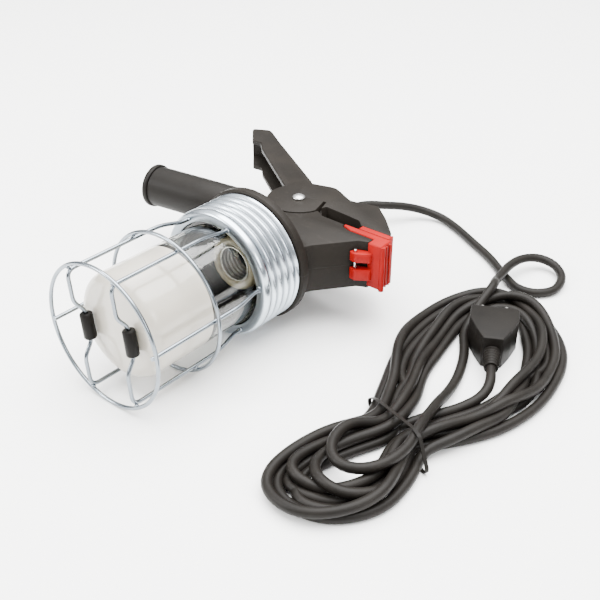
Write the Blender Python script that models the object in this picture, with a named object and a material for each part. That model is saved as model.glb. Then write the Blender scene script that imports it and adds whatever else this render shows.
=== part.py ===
"""Caged hand lamp with a sprung clamp, a glass jar and a mains lead.

The lamp lies on its cage with the clamp flat above the surface. +X runs along
the cage axis to the front of the cage, the handle points to -Y, the jaws point
to +Y and +Z is up. The origin is the middle of the lamp's footprint, on the
surface it stands on. Dimensions are in millimetres and become metres when each
mesh is made.
"""

import math

import bmesh
import bpy
from mathutils import Matrix, Vector

MM = 0.001
GAP = 0.3

# Place of the lamp's own axis in the part's frame.
SHIFT_X = 12.9454
SHIFT_Y = 31.3627
AXIS_Z = 56.0

# Moulded body.
FLANGE_RADIUS = 53.6
FLANGE_BACK = -9.0
NECK_RADIUS = 47.6
NECK_FRONT = 33.0
NECK_BORE = 43.0
BORE_FLOOR = -5.0
FOOT_WIDTH = 30.0
BLOCK_LOW = AXIS_Z - 20.5
BLOCK_HIGH = AXIS_Z + 20.5

# Thread between the neck and the cage collar.
PITCH = 7.0
THREAD_DEPTH = 1.4
THREAD_GAP = 1.2
THREAD_SIDES = 30
COLLAR_WALL = 1.0
COLLAR_FRONT = 39.5

# Clamp.
PIVOT = (-71.0, -9.0)
KNUCKLE_HALF = 10.5
KNUCKLE_RADIUS = 21.5
HUB_RADIUS = 26.5
PIN_RADIUS = 3.0
ARM_HALF = 15.0
JAW_LINE = -58.0
PAD_PIN = (-38.4, 73.8)

# Handle.
HANDLE_ROOT = (-56.2, -52.0)
HANDLE_END = (-41.8, -154.2)
HANDLE_RADIUS = 17.6
HANDLE_WALL = 3.0

# Cage.
WIRE_RADIUS = 1.5
HOOP_RADIUS = 54.5
FRONT_HOOP_X = 149.0
MIDDLE_HOOP_X = 91.0
RAIL_RADIUS = HOOP_RADIUS - 2 * WIRE_RADIUS - GAP
WELD_RADIUS = 46.3
U_WIRE_OFFSET = 22.5
CAGE_ROLL = math.radians(6.0)
SLEEVE_LENGTH = 20.0
SLEEVE_RADIUS = 4.7

# Glass.
JAR_RADIUS = 40.3
JAR_END = 137.0
JAR_CROWN = 1.5
JAR_WALL = 3.0

# Lead.
CORD_RADIUS = 3.8
GLAND_Z = 21.0
HANK_LOW = 2.4
HANK_HIGH = 20.5
PLUG_START = (-60.0, 186.0)
PLUG_HEADING = math.radians(208.0)
PLUG_LENGTH = 45.0
PLUG_LEVEL = 13.3

# Screws.
SCREW_RADIUS = 1.5
HOLDER_SCREW_Y = 31.0
CLAMP_SCREW_Y = 9.0
SADDLE_TOP = 25.0

BLACK = (0.055, 0.047, 0.041)
DARK = (0.03, 0.028, 0.026)
RED = (0.68, 0.035, 0.025)
ZINC = (0.62, 0.66, 0.70)
STEEL = (0.55, 0.55, 0.55)
CREAM = (0.67, 0.60, 0.43)
GLASS = (0.72, 0.69, 0.62)
COPPER = (0.75, 0.33, 0.15)


# ---------------------------------------------------------------- helpers

def place(x, y, z):
    """Lamp millimetres to part metres."""
    return Vector(((x + SHIFT_X) * MM, (y + SHIFT_Y) * MM, z * MM))


def make_material(name, colour, roughness, metallic):
    material = bpy.data.materials.new(name)
    material.use_nodes = True
    shader = material.node_tree.nodes["Principled BSDF"]
    shader.inputs["Base Color"].default_value = (*colour, 1.0)
    shader.inputs["Roughness"].default_value = roughness
    shader.inputs["Metallic"].default_value = metallic
    return material


def add_object(name, mesh, colour, roughness=0.5, metallic=0.0, smooth=True):
    """Link a mesh as a named piece with its own material."""
    mesh.materials.append(make_material(name, colour, roughness, metallic))
    if smooth:
        mesh.shade_smooth()
        mesh.set_sharp_from_angle(angle=math.radians(35))
    piece = bpy.data.objects.new(name, mesh)
    bpy.context.scene.collection.objects.link(piece)
    return piece


def mesh_from(name, points, faces):
    """A mesh from lamp-frame points, with its faces turned outwards."""
    mesh = bpy.data.meshes.new(name)
    mesh.from_pydata([place(*point) for point in points], [], faces)
    work = bmesh.new()
    work.from_mesh(mesh)
    bmesh.ops.recalc_face_normals(work, faces=work.faces)
    work.to_mesh(mesh)
    work.free()
    return mesh


def set_pivot(piece, x, y, z):
    """Move an object's origin to a lamp-frame point without moving its mesh."""
    pivot = place(x, y, z)
    piece.data.transform(Matrix.Translation(-pivot))
    piece.location = pivot


def boolean(piece, tool, operation):
    """Keep a live Boolean and hide its tool."""
    modifier = piece.modifiers.new(tool.name, "BOOLEAN")
    modifier.operation = operation
    modifier.solver = "EXACT"
    modifier.object = tool
    tool.hide_render = True
    tool.display_type = "WIRE"
    return modifier


def soften(piece, width, segments=1, angle=40.0):
    """Bevel the sharp edges of a moulding."""
    modifier = piece.modifiers.new("soft_edges", "BEVEL")
    modifier.width = width * MM
    modifier.segments = segments
    modifier.limit_method = "ANGLE"
    modifier.angle_limit = math.radians(angle)


def outline(corners, steps=3):
    """A closed plan outline; each corner is (x, y, fillet radius)."""
    points = []
    count = len(corners)
    for index, (x, y, fillet) in enumerate(corners):
        here = Vector((x, y))
        before = Vector(corners[index - 1][:2]) - here
        after = Vector(corners[(index + 1) % count][:2]) - here
        if fillet <= 0.0:
            points.append((x, y))
            continue
        half = before.angle(after) / 2
        reach = min(fillet / math.tan(half), before.length * 0.49, after.length * 0.49)
        start = here + before.normalized() * reach
        end = here + after.normalized() * reach
        for step in range(steps + 1):
            t = step / steps
            points.append(tuple((1 - t) ** 2 * start + 2 * t * (1 - t) * here + t ** 2 * end))
    return points


def arc(centre, radius, first, last, steps):
    """Points on an arc, angles in degrees, as unfilleted corners."""
    points = []
    for step in range(steps + 1):
        angle = math.radians(first + (last - first) * step / steps)
        points.append((centre[0] + radius * math.cos(angle),
                       centre[1] + radius * math.sin(angle), 0.0))
    return points


def prism(name, points, low, high, *look):
    """A plan outline raised between two heights."""
    count = len(points)
    corners = [(x, y, low) for x, y in points] + [(x, y, high) for x, y in points]
    faces = [tuple(range(count)), tuple(range(count, 2 * count))]
    for index in range(count):
        after = (index + 1) % count
        faces.append((index, after, after + count, index + count))
    return add_object(name, mesh_from(name, corners, faces), *look)


def lathe(name, profile, *look, sides=32, closed=True, start=(0.0, 0.0, AXIS_Z), axis=(1, 0, 0)):
    """Turn (distance along the axis, radius) points about an axis."""
    along = Vector(axis).normalized()
    side = along.orthogonal().normalized()
    if axis == (1, 0, 0):
        side = Vector((0, 1, 0))
    other = along.cross(side)
    origin = Vector(start)
    points = []
    rings = []
    for distance, radius in profile:
        if radius < 1e-6:
            rings.append([len(points)])
            points.append(origin + along * distance)
            continue
        rings.append(list(range(len(points), len(points) + sides)))
        for index in range(sides):
            angle = 2 * math.pi * index / sides
            turned = side * math.cos(angle) + other * math.sin(angle)
            points.append(origin + along * distance + turned * radius)
    pairs = list(zip(rings, rings[1:]))
    if closed and len(rings[0]) > 1:
        pairs.append((rings[-1], rings[0]))
    faces = []
    for first, second in pairs:
        if len(first) > 1 or len(second) > 1:
            faces += band(first, second, sides)
    return add_object(name, mesh_from(name, [tuple(p) for p in points], faces), *look)


def band(first, second, sides):
    """Faces between two rings, either of which may be a single point."""
    faces = []
    for index in range(sides):
        after = (index + 1) % sides
        if len(first) == 1:
            faces.append((first[0], second[index], second[after]))
        elif len(second) == 1:
            faces.append((first[index], second[0], first[after]))
        else:
            faces.append((first[index], second[index], second[after], first[after]))
    return faces


def helix_wall(name, rows, *look):
    """A closed tube whose rows are (x, radius, thread depth)."""
    points = []
    for x, radius, depth in rows:
        for index in range(THREAD_SIDES):
            angle = 2 * math.pi * index / THREAD_SIDES
            wave = math.cos(2 * math.pi * x / PITCH - angle)
            reach = radius + depth * wave
            points.append((x, reach * math.cos(angle), AXIS_Z + reach * math.sin(angle)))
    faces = []
    count = len(rows)
    for row in range(count):
        first = [row * THREAD_SIDES + index for index in range(THREAD_SIDES)]
        following = (row + 1) % count
        second = [following * THREAD_SIDES + index for index in range(THREAD_SIDES)]
        faces += band(first, second, THREAD_SIDES)
    return add_object(name, mesh_from(name, points, faces), *look)


def rounded_path(corners, steps=3):
    """An open 3-D path whose corners (x, y, z, radius) are rounded."""
    path = [Vector(corners[0][:3])]
    for before, here, after in zip(corners, corners[1:], corners[2:]):
        middle = Vector(here[:3])
        back = Vector(before[:3]) - middle
        ahead = Vector(after[:3]) - middle
        reach = min(here[3], back.length * 0.49, ahead.length * 0.49)
        start = middle + back.normalized() * reach
        end = middle + ahead.normalized() * reach
        for step in range(steps + 1):
            t = step / steps
            path.append((1 - t) ** 2 * start + 2 * t * (1 - t) * middle + t ** 2 * end)
    path.append(Vector(corners[-1][:3]))
    return path


def wire(name, path, radius, *look, resolution=1, cyclic=False):
    """A round bar along a path."""
    curve = bpy.data.curves.new(name, "CURVE")
    curve.dimensions = "3D"
    curve.bevel_depth = radius * MM
    curve.bevel_resolution = resolution
    curve.render_resolution_u = 0
    curve.use_fill_caps = not cyclic
    spline = curve.splines.new("POLY")
    spline.points.add(len(path) - 1)
    for point, position in zip(spline.points, path):
        point.co = (*place(*position), 1.0)
    spline.use_cyclic_u = cyclic
    curve.materials.append(make_material(name, *look))
    piece = bpy.data.objects.new(name, curve)
    bpy.context.scene.collection.objects.link(piece)
    return piece


def smooth_route(points, spacing):
    """Evenly spaced points on a smooth curve through hand-chosen points."""
    fine = []
    padded = [points[0]] + list(points) + [points[-1]]
    for a, b, c, d in zip(padded, padded[1:], padded[2:], padded[3:]):
        a, b, c, d = (Vector(p) for p in (a, b, c, d))
        for step in range(24):
            t = step / 24
            fine.append(0.5 * (2 * b + (c - a) * t + (2 * a - 5 * b + 4 * c - d) * t * t
                               + (3 * b - a - 3 * c + d) * t ** 3))
    fine.append(Vector(points[-1]))
    length = sum((q - p).length for p, q in zip(fine, fine[1:]))
    count = max(2, round(length / spacing))
    even = [fine[0]]
    travelled = 0.0
    for p, q in zip(fine, fine[1:]):
        travelled += (q - p).length
        if travelled >= length * len(even) / count and len(even) < count:
            even.append(q)
    even.append(fine[-1])
    return even


def around_axis(x, radius, angle):
    """A point at a radius and angle round the lamp's axis."""
    return (x, radius * math.cos(angle), AXIS_Z + radius * math.sin(angle))


# ------------------------------------------------------------------- body

def build_body():
    """Round housing, neck, clamp block, near jaw, knuckle and handle tang."""
    look = (BLACK, 0.55, 0.0)
    body = lathe("lamp_body", [
        (FLANGE_BACK, 0.0), (FLANGE_BACK, FLANGE_RADIUS - 2.5),
        (FLANGE_BACK + 2.0, FLANGE_RADIUS), (-1.2, FLANGE_RADIUS),
        (0.0, FLANGE_RADIUS - 1.2), (0.0, 0.0)], *look, sides=40)
    for tool in (neck_tool(look), foot_tool(look), block_tool(look), knuckle_tool(look),
                 tang_tool(look)):
        boolean(body, tool, "UNION")
    for tool in (bore_tool(look), pivot_tool(look), holder_seat_tool(look)):
        boolean(body, tool, "DIFFERENCE")
    boolean(body, saddle_tool(look), "UNION")
    boolean(body, gland_tool(look), "DIFFERENCE")
    for index, side in enumerate((-1.0, 1.0), start=1):
        seat = (0.0, side * HOLDER_SCREW_Y, AXIS_Z)
        boolean(body, screw_hole(f"body_hole_{index}", seat, (1, 0, 0)), "DIFFERENCE")
        seat = (-1.0, side * CLAMP_SCREW_Y, SADDLE_TOP)
        boolean(body, screw_hole(f"saddle_hole_{index}", seat, (0, 0, 1)), "DIFFERENCE")
    return body


def saddle_tool(look):
    """Boss inside the cavity that the lead lies across."""
    return prism("saddle_form", [(-6.0, -13.0), (3.5, -13.0), (3.5, 13.0), (-6.0, 13.0)],
                 11.5, SADDLE_TOP, *look)


def screw_hole(name, seat, axis):
    """Clearance hole, 8 mm either side of a seat."""
    radius = SCREW_RADIUS + GAP
    return lathe(name, [(-8.0, 0.0), (-8.0, radius), (8.0, radius), (8.0, 0.0)], STEEL, 0.3, 1.0,
                 sides=10, start=seat, axis=axis)


def screw(name, under_head, length, head_radius, seat, axis):
    """Pan-head screw along an axis, its head towards the positive end."""
    lathe(name, [
        (under_head - length, 0.0), (under_head - length, SCREW_RADIUS - 0.4),
        (under_head - length + 1.0, SCREW_RADIUS), (under_head, SCREW_RADIUS),
        (under_head, head_radius), (under_head + 0.9, head_radius),
        (under_head + 1.7, head_radius * 0.6), (under_head + 1.7, 0.0)], STEEL, 0.3, 1.0,
        sides=10, start=seat, axis=axis)


def neck_tool(look):
    """Neck with a raised helical thread on its outside."""
    rows = [(-4.0, NECK_RADIUS - THREAD_DEPTH, 0.0), (2.0, NECK_RADIUS - THREAD_DEPTH, 0.0)]
    step = PITCH / 4
    first, last = 4.0, NECK_FRONT - 3.0
    for index in range(int((last - first) / step) + 1):
        rows.append((first + index * step, NECK_RADIUS, THREAD_DEPTH))
    rows.append((NECK_FRONT - 1.0, NECK_RADIUS - THREAD_DEPTH, 0.0))
    rows.append((NECK_FRONT, NECK_RADIUS - THREAD_DEPTH - 0.8, 0.0))
    rows.append((NECK_FRONT, NECK_BORE - 3.0, 0.0))
    rows.append((-4.0, NECK_BORE - 3.0, 0.0))
    return helix_wall("neck_form", rows, *look)


def foot_tool(look):
    """Flat under the flange that stops the lamp from rolling."""
    half = FOOT_WIDTH / 2
    points = [(FLANGE_BACK + 1.0, -half), (-1.2, -half), (-1.2, half), (FLANGE_BACK + 1.0, half)]
    return prism("foot_form", points, 0.0, 14.0, *look)


def block_tool(look):
    """Full-height block behind the flange, ending in the near jaw."""
    corners = [(-4.0, -34.0, 0.0), (-30.0, -40.0, 8.0), (-50.0, -37.0, 4.0)]
    corners += arc(PIVOT, HUB_RADIUS + 1.0, -62.0, 74.0, 12)
    corners += [(-58.5, 26.0, 3.0), (-57.6, 49.0, 0.0), (-54.5, 49.4, 0.0), (-51.6, 58.0, 0.0),
                (-51.6, 81.0, 0.0), (-45.8, 81.0, 1.5), (-42.4, 73.0, 4.0), (-14.0, 50.5, 6.0),
                (-4.0, 46.0, 0.0)]
    block = prism("block_form", outline(corners), BLOCK_LOW, BLOCK_HIGH, *look)
    soften(block, 1.6, 2)
    return block


def knuckle_tool(look):
    """Middle plate of the hinge, and the root that carries the handle."""
    root = Vector(HANDLE_ROOT)
    corners = arc(PIVOT, KNUCKLE_RADIUS, 60.0, 262.0, 14)
    corners += [(root.x - 15.0, root.y - 2.0, 0.0), (root.x + 14.5, root.y + 1.0, 0.0),
                (-34.0, -30.0, 0.0)]
    return prism("knuckle_form", outline(corners), AXIS_Z - KNUCKLE_HALF,
                 AXIS_Z + KNUCKLE_HALF, *look)


def handle_direction():
    run = Vector(HANDLE_END) - Vector(HANDLE_ROOT)
    return run.normalized(), run.length


def tang_tool(look):
    """Round shoulder and spigot that the grip slides onto."""
    along, length = handle_direction()
    radius = HANDLE_RADIUS - HANDLE_WALL - GAP
    profile = [(-7.0, 0.0), (-7.0, 10.0), (-1.0, 16.0), (1.5, 16.6), (4.0, 16.6), (4.0, radius),
               (length * 0.6, radius - 0.8), (length * 0.6 + 1.5, radius - 2.5),
               (length * 0.6 + 1.5, 0.0)]
    return lathe("tang_form", profile, *look, sides=24,
                 start=(*HANDLE_ROOT, AXIS_Z), axis=(along.x, along.y, 0.0))


def bore_tool(look):
    """Cavity of the neck that holds the lampholder."""
    profile = [(BORE_FLOOR, 0.0), (BORE_FLOOR, NECK_BORE - 4.0), (BORE_FLOOR + 2.0, NECK_BORE),
               (NECK_FRONT + 5.0, NECK_BORE), (NECK_FRONT + 5.0, 0.0)]
    return lathe("bore_form", profile, *look, sides=36)


def pivot_tool(look):
    """Hole for the clamp's pivot pin and pocket for its spring."""
    profile = [(-30.0, 0.0), (-30.0, PIN_RADIUS + GAP), (-7.5, PIN_RADIUS + GAP), (-7.5, 9.0),
               (7.5, 9.0), (7.5, PIN_RADIUS + GAP), (30.0, PIN_RADIUS + GAP), (30.0, 0.0)]
    return lathe("pivot_form", profile, *look, sides=20, start=(*PIVOT, AXIS_Z), axis=(0, 0, 1))


def gland_tool(look):
    """Round hole for the cord gland, low in the back wall."""
    profile = [(-20.0, 0.0), (-20.0, 6.3), (-4.8, 6.3), (-4.8, CORD_RADIUS + GAP),
               (6.0, CORD_RADIUS + GAP), (6.0, 0.0)]
    return lathe("gland_form", profile, *look, sides=20, start=(0.0, 0.0, GLAND_Z))


def holder_seat_tool(look):
    """Relief behind the holder's rear collar."""
    profile = [(BORE_FLOOR - 2.0, 0.0), (BORE_FLOOR - 2.0, 12.0), (0.0, 12.0), (0.0, 0.0)]
    return lathe("seat_form", profile, *look, sides=20)


def build_handle():
    """Grip sleeve and the lipped cap that closes its end."""
    along, length = handle_direction()
    outer, inner = HANDLE_RADIUS, HANDLE_RADIUS - HANDLE_WALL
    start = (*HANDLE_ROOT, AXIS_Z)
    axis = (along.x, along.y, 0.0)
    lathe("handle_grip", [
        (4.4, inner), (4.4, outer - 1.4), (6.0, outer - 0.3), (length * 0.5, outer),
        (length - 6.5, outer), (length - 6.5, inner)], BLACK, 0.6, 0.0,
        sides=28, start=start, axis=axis)
    lathe("handle_cap", [
        (length - 14.0, 0.0), (length - 14.0, inner - 0.8), (length - 6.2, inner - GAP),
        (length - 6.2, outer + 0.9), (length - 5.0, outer + 1.5), (length - 2.0, outer + 1.4),
        (length - 0.6, outer - 0.4), (length, outer - 3.0), (length - 1.0, outer - 5.0),
        (length - 1.0, 0.0)], BLACK, 0.6, 0.0, sides=28, start=start, axis=axis)


# ------------------------------------------------------------------ clamp

def build_lever():
    """Channel lever with two hinge cheeks and the far jaw."""
    look = (BLACK, 0.5, 0.0)
    lever = prism("clamp_lever", outline(jaw_outline()), BLOCK_LOW, BLOCK_HIGH, *look)
    soften(lever, 1.6, 2)
    arm = prism("arm_form", outline(arm_outline()), AXIS_Z - ARM_HALF, AXIS_Z + ARM_HALF, *look)
    soften(arm, 1.2)
    boolean(lever, arm, "UNION")
    slot = KNUCKLE_HALF + 0.5
    knuckle = prism("knuckle_clearance", outline(clearance_outline()), AXIS_Z - slot,
                    AXIS_Z + slot, *look)
    boolean(lever, knuckle, "DIFFERENCE")
    channel = prism("channel_form", outline(channel_outline()), AXIS_Z - slot, AXIS_Z + slot,
                    *look)
    boolean(lever, channel, "DIFFERENCE")
    hole = lathe("lever_hole", [(-40.0, 0.0), (-40.0, PIN_RADIUS + GAP), (40.0, PIN_RADIUS + GAP),
                                (40.0, 0.0)], *look, sides=20, start=(*PIVOT, AXIS_Z),
                 axis=(0, 0, 1))
    boolean(lever, hole, "DIFFERENCE")
    notch = prism("spring_slot", [(-60.0, 16.4), (-78.5, 11.0), (-79.5, 13.6), (-60.0, 20.0)],
                  AXIS_Z + KNUCKLE_HALF + 4.0, BLOCK_HIGH + 5.0, *look)
    boolean(lever, notch, "DIFFERENCE")
    set_pivot(lever, *PIVOT, AXIS_Z)
    return lever


def jaw_outline():
    """Hub and far jaw seen from above."""
    corners = arc(PIVOT, HUB_RADIUS, -112.0, 84.0, 16)
    corners += [(-72.5, 19.0, 1.0), (-71.0, 40.0, 4.0), (-69.5, 54.0, 5.0), (-63.9, 60.0, 0.0),
                (-63.9, 88.0, 1.0), (-68.0, 86.0, 3.0), (-87.0, 67.0, 5.0), (-100.0, 51.0, 5.0),
                (-94.0, 27.0, 8.0), (-106.0, 3.0, 12.0), (-99.0, -22.0, 8.0), (-92.0, -32.0, 4.0)]
    return corners


def arm_outline():
    """Lever arm with its hooked end, seen from above."""
    return [(-92.0, -2.0, 0.0), (-114.0, -31.0, 4.0), (-161.0, -106.0, 18.0),
            (-179.5, -134.0, 8.0), (-171.0, -150.5, 3.0), (-149.0, -131.0, 2.0),
            (-150.0, -121.0, 4.0), (-139.0, -110.0, 8.0), (-90.0, -40.0, 2.0),
            (-78.0, -12.0, 0.0)]


def channel_outline():
    """Hollow between the arm's plates, open towards the handle."""
    return [(-74.0, -20.0, 0.0), (-93.0, -22.0, 4.0), (-108.0, -34.0, 2.0),
            (-155.5, -107.5, 14.0), (-172.5, -134.0, 6.0), (-167.5, -145.0, 2.0),
            (-150.0, -165.0, 0.0), (-105.0, -115.0, 0.0), (-60.0, -60.0, 0.0),
            (-60.0, -25.0, 0.0)]


def clearance_outline():
    """Room for the knuckle as the lever swings."""
    corners = arc(PIVOT, KNUCKLE_RADIUS + 0.7, 84.0, 200.0, 12)
    corners += [(-92.0, -24.0, 0.0), (-82.0, -60.0, 0.0), (-40.0, -60.0, 0.0), (-40.0, 13.0, 0.0)]
    return corners


def build_pivot():
    """Pin with two formed heads, washer and torsion spring."""
    top = BLOCK_HIGH - AXIS_Z + 1.2
    lathe("pivot_pin", [
        (-top - 1.6, 0.0), (-top - 1.6, 3.0), (-top, 5.0), (-top + 0.6, 5.0),
        (-top + 0.6, PIN_RADIUS), (top - 0.9, PIN_RADIUS), (top - 0.9, 5.2),
        (top - 0.2, 5.2), (top + 1.2, 3.4), (top + 1.7, 0.0)], STEEL, 0.3, 1.0, sides=20,
        start=(*PIVOT, AXIS_Z), axis=(0, 0, 1))
    coil = []
    turns, steps = 3, 9
    for index in range(turns * steps + 1):
        angle = 2 * math.pi * index / steps
        height = -4.6 + 9.2 * index / (turns * steps)
        coil.append((PIVOT[0] + 6.2 * math.cos(angle), PIVOT[1] + 6.2 * math.sin(angle),
                     AXIS_Z + height))
    wire("torsion_spring", coil, 0.9, STEEL, 0.3, 1.0)


def build_pads():
    """Red clip-on jaw pads and the steel pins that hold them."""
    low, high = BLOCK_LOW - 0.4, BLOCK_HIGH + 0.4
    look = (RED, 0.35, 0.0)
    near = prism("near_jaw_pad", outline([
        (JAW_LINE + GAP, 49.4, 1.0), (JAW_LINE + GAP, 93.5, 1.2), (-43.4, 93.5, 2.0),
        (-43.4, 81.4, 0.0), (-51.95, 81.4, 0.0), (-51.95, 58.1, 0.0), (-54.9, 49.6, 0.0)]),
        low + 4.0, high, *look)
    soften(near, 0.8)
    for index, (bottom, top) in enumerate(((46.0, 55.0), (61.5, 69.0)), start=1):
        lug = prism(f"pad_lug_{index}", outline([
            (-45.0, 81.6, 0.0), (-45.0, 86.0, 0.0), (-41.0, 86.0, 2.0), (-34.6, 76.0, 3.0),
            (-35.6, 69.6, 2.5), (-40.0, 71.5, 0.0), (-42.0, 73.6, 0.0), (-45.3, 81.4, 0.0)]),
            bottom, top, *look)
        boolean(near, lug, "UNION")
    hole = lathe("pad_pin_hole", [(-20.0, 0.0), (-20.0, 1.5), (20.0, 1.5), (20.0, 0.0)], *look,
                 sides=10, start=(*PAD_PIN, AXIS_Z), axis=(0, 0, 1))
    boolean(near, hole, "DIFFERENCE")
    far = prism("far_jaw_pad", outline([
        (JAW_LINE - GAP, 62.0, 1.0), (JAW_LINE - GAP, 90.2, 1.0), (-65.0, 90.2, 1.0),
        (-65.0, 88.9, 0.0), (-63.5, 88.4, 0.0), (-63.5, 62.0, 0.0)]), low, high, *look)
    soften(far, 0.8)
    lathe("near_pad_pin", [(44.0, 0.0), (44.0, 1.2), (71.0, 1.2), (71.0, 0.0)], STEEL, 0.3, 1.0,
          sides=10, start=(*PAD_PIN, 0.0), axis=(0, 0, 1))


# ------------------------------------------------------------------- cage

def build_collar():
    """Rolled sheet collar with a helical thread and a turned-in front rim."""
    outer = NECK_RADIUS + THREAD_GAP + COLLAR_WALL
    inner = NECK_RADIUS + THREAD_GAP
    step = PITCH / 4
    first, last = 3.4, 31.4
    threads = [first + index * step for index in range(int((last - first) / step + 0.01) + 1)]
    crest = THREAD_DEPTH
    rows = [(0.8, outer + crest, 0.0), (2.0, outer + crest, 0.0)]
    rows += [(x, outer, THREAD_DEPTH) for x in threads]
    rows += [(33.0, outer + crest, 0.0), (37.5, outer + crest - 0.4, 0.0),
             (COLLAR_FRONT, outer - 1.5, 0.0), (COLLAR_FRONT, JAR_RADIUS + 2.2, 0.0),
             (COLLAR_FRONT - COLLAR_WALL, JAR_RADIUS + 2.2, 0.0),
             (COLLAR_FRONT - COLLAR_WALL, outer - 2.5, 0.0), (37.0, inner + crest - 0.5, 0.0),
             (33.0, inner + crest, 0.0)]
    rows += [(x, inner, THREAD_DEPTH) for x in reversed(threads)]
    rows += [(2.0, inner + crest, 0.0), (0.8, inner + crest, 0.0)]
    helix_wall("cage_collar", rows, ZINC, 0.3, 1.0)


def build_hoops():
    """Front and middle hoops."""
    for name, x in (("front_hoop", FRONT_HOOP_X), ("middle_hoop", MIDDLE_HOOP_X)):
        path = [around_axis(x, HOOP_RADIUS, 2 * math.pi * index / 36) for index in range(36)]
        wire(name, path, WIRE_RADIUS, ZINC, 0.3, 1.0, cyclic=True)


def rail_points(angle):
    """Corners of one rail from its weld on the collar to the front hoop."""
    weld = COLLAR_FRONT + WIRE_RADIUS + GAP
    return [(*around_axis(weld - 1.2, WELD_RADIUS, angle), 0.0),
            (*around_axis(weld + 5.0, WELD_RADIUS, angle), 6.0),
            (*around_axis(66.0, RAIL_RADIUS, angle), 8.0)]


def build_u_wires():
    """Two bent wires that run along the cage, across its front and back."""
    for name, side in (("u_wire_left", -1.0), ("u_wire_right", 1.0)):
        rise = math.asin(U_WIRE_OFFSET / RAIL_RADIUS)
        top = math.pi / 2 - side * rise + CAGE_ROLL
        bottom = -math.pi / 2 + side * rise + CAGE_ROLL
        front = FRONT_HOOP_X + 2.0
        corners = rail_points(top)
        corners.append((*around_axis(front, RAIL_RADIUS, top), 7.0))
        upper = Vector(around_axis(front, RAIL_RADIUS, top))
        lower = Vector(around_axis(front, RAIL_RADIUS, bottom))
        dent = Vector((JAR_END + JAR_CROWN + SLEEVE_RADIUS - front, 0.0, 0.0))
        for share, depth in ((0.26, 0.0), (0.37, 1.0), (0.63, 1.0), (0.74, 0.0)):
            corners.append((*(upper.lerp(lower, share) + dent * depth), 4.0))
        corners.append((*lower, 7.0))
        corners += reversed(rail_points(bottom))
        wire(name, rounded_path(corners), WIRE_RADIUS, ZINC, 0.3, 1.0)
        middle = upper.lerp(lower, 0.5) + dent
        along = (lower - upper).normalized()
        half = SLEEVE_LENGTH / 2
        lathe(name.replace("u_wire", "wire_sleeve"), [
            (-half, WIRE_RADIUS + GAP), (-half, SLEEVE_RADIUS - 0.8), (-half + 0.8, SLEEVE_RADIUS),
            (half - 0.8, SLEEVE_RADIUS), (half, SLEEVE_RADIUS - 0.8), (half, WIRE_RADIUS + GAP)],
            DARK, 0.6, 0.0, sides=12, start=tuple(middle), axis=tuple(along))


def build_side_wires():
    """Straight rails on the two sides, ending at the front hoop."""
    for name, angle in (("side_wire_left", math.pi), ("side_wire_right", 0.0)):
        corners = rail_points(angle + CAGE_ROLL)
        corners.append((*around_axis(FRONT_HOOP_X + 1.5, RAIL_RADIUS, angle + CAGE_ROLL), 0.0))
        wire(name, rounded_path(corners), WIRE_RADIUS, ZINC, 0.3, 1.0)


# ------------------------------------------------------------------ glass

def build_jar():
    """Domed jar with a seating rim, and the gasket behind it."""
    inner = JAR_RADIUS - JAR_WALL
    shoulder = 10.0
    outside = []
    inside = []
    for step in range(6):
        angle = math.pi / 2 * step / 5
        outside.append((JAR_END - shoulder + shoulder * math.sin(angle),
                        JAR_RADIUS - shoulder + shoulder * math.cos(angle)))
        inside.append((JAR_END - shoulder + (shoulder - JAR_WALL) * math.sin(angle),
                       JAR_RADIUS - shoulder + (shoulder - JAR_WALL) * math.cos(angle)))
    rim = NECK_FRONT + 1.6
    profile = [(rim, inner), (rim, 45.4), (rim + 3.0, 45.4), (rim + 3.4, JAR_RADIUS)]
    profile += outside + [(JAR_END + JAR_CROWN - GAP, 15.0), (JAR_END + JAR_CROWN, 0.0)]
    profile += [(JAR_END - JAR_WALL + 1.0, 0.0), (JAR_END - JAR_WALL + 0.8, 15.0)]
    profile += reversed(inside)
    lathe("glass_jar", profile, GLASS, 0.2, 0.0, sides=30)
    lathe("jar_gasket", [(NECK_FRONT + GAP, 38.5), (NECK_FRONT + GAP, 45.2),
                         (rim - GAP, 45.2), (rim - GAP, 38.5)], DARK, 0.7, 0.0, sides=30)


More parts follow.
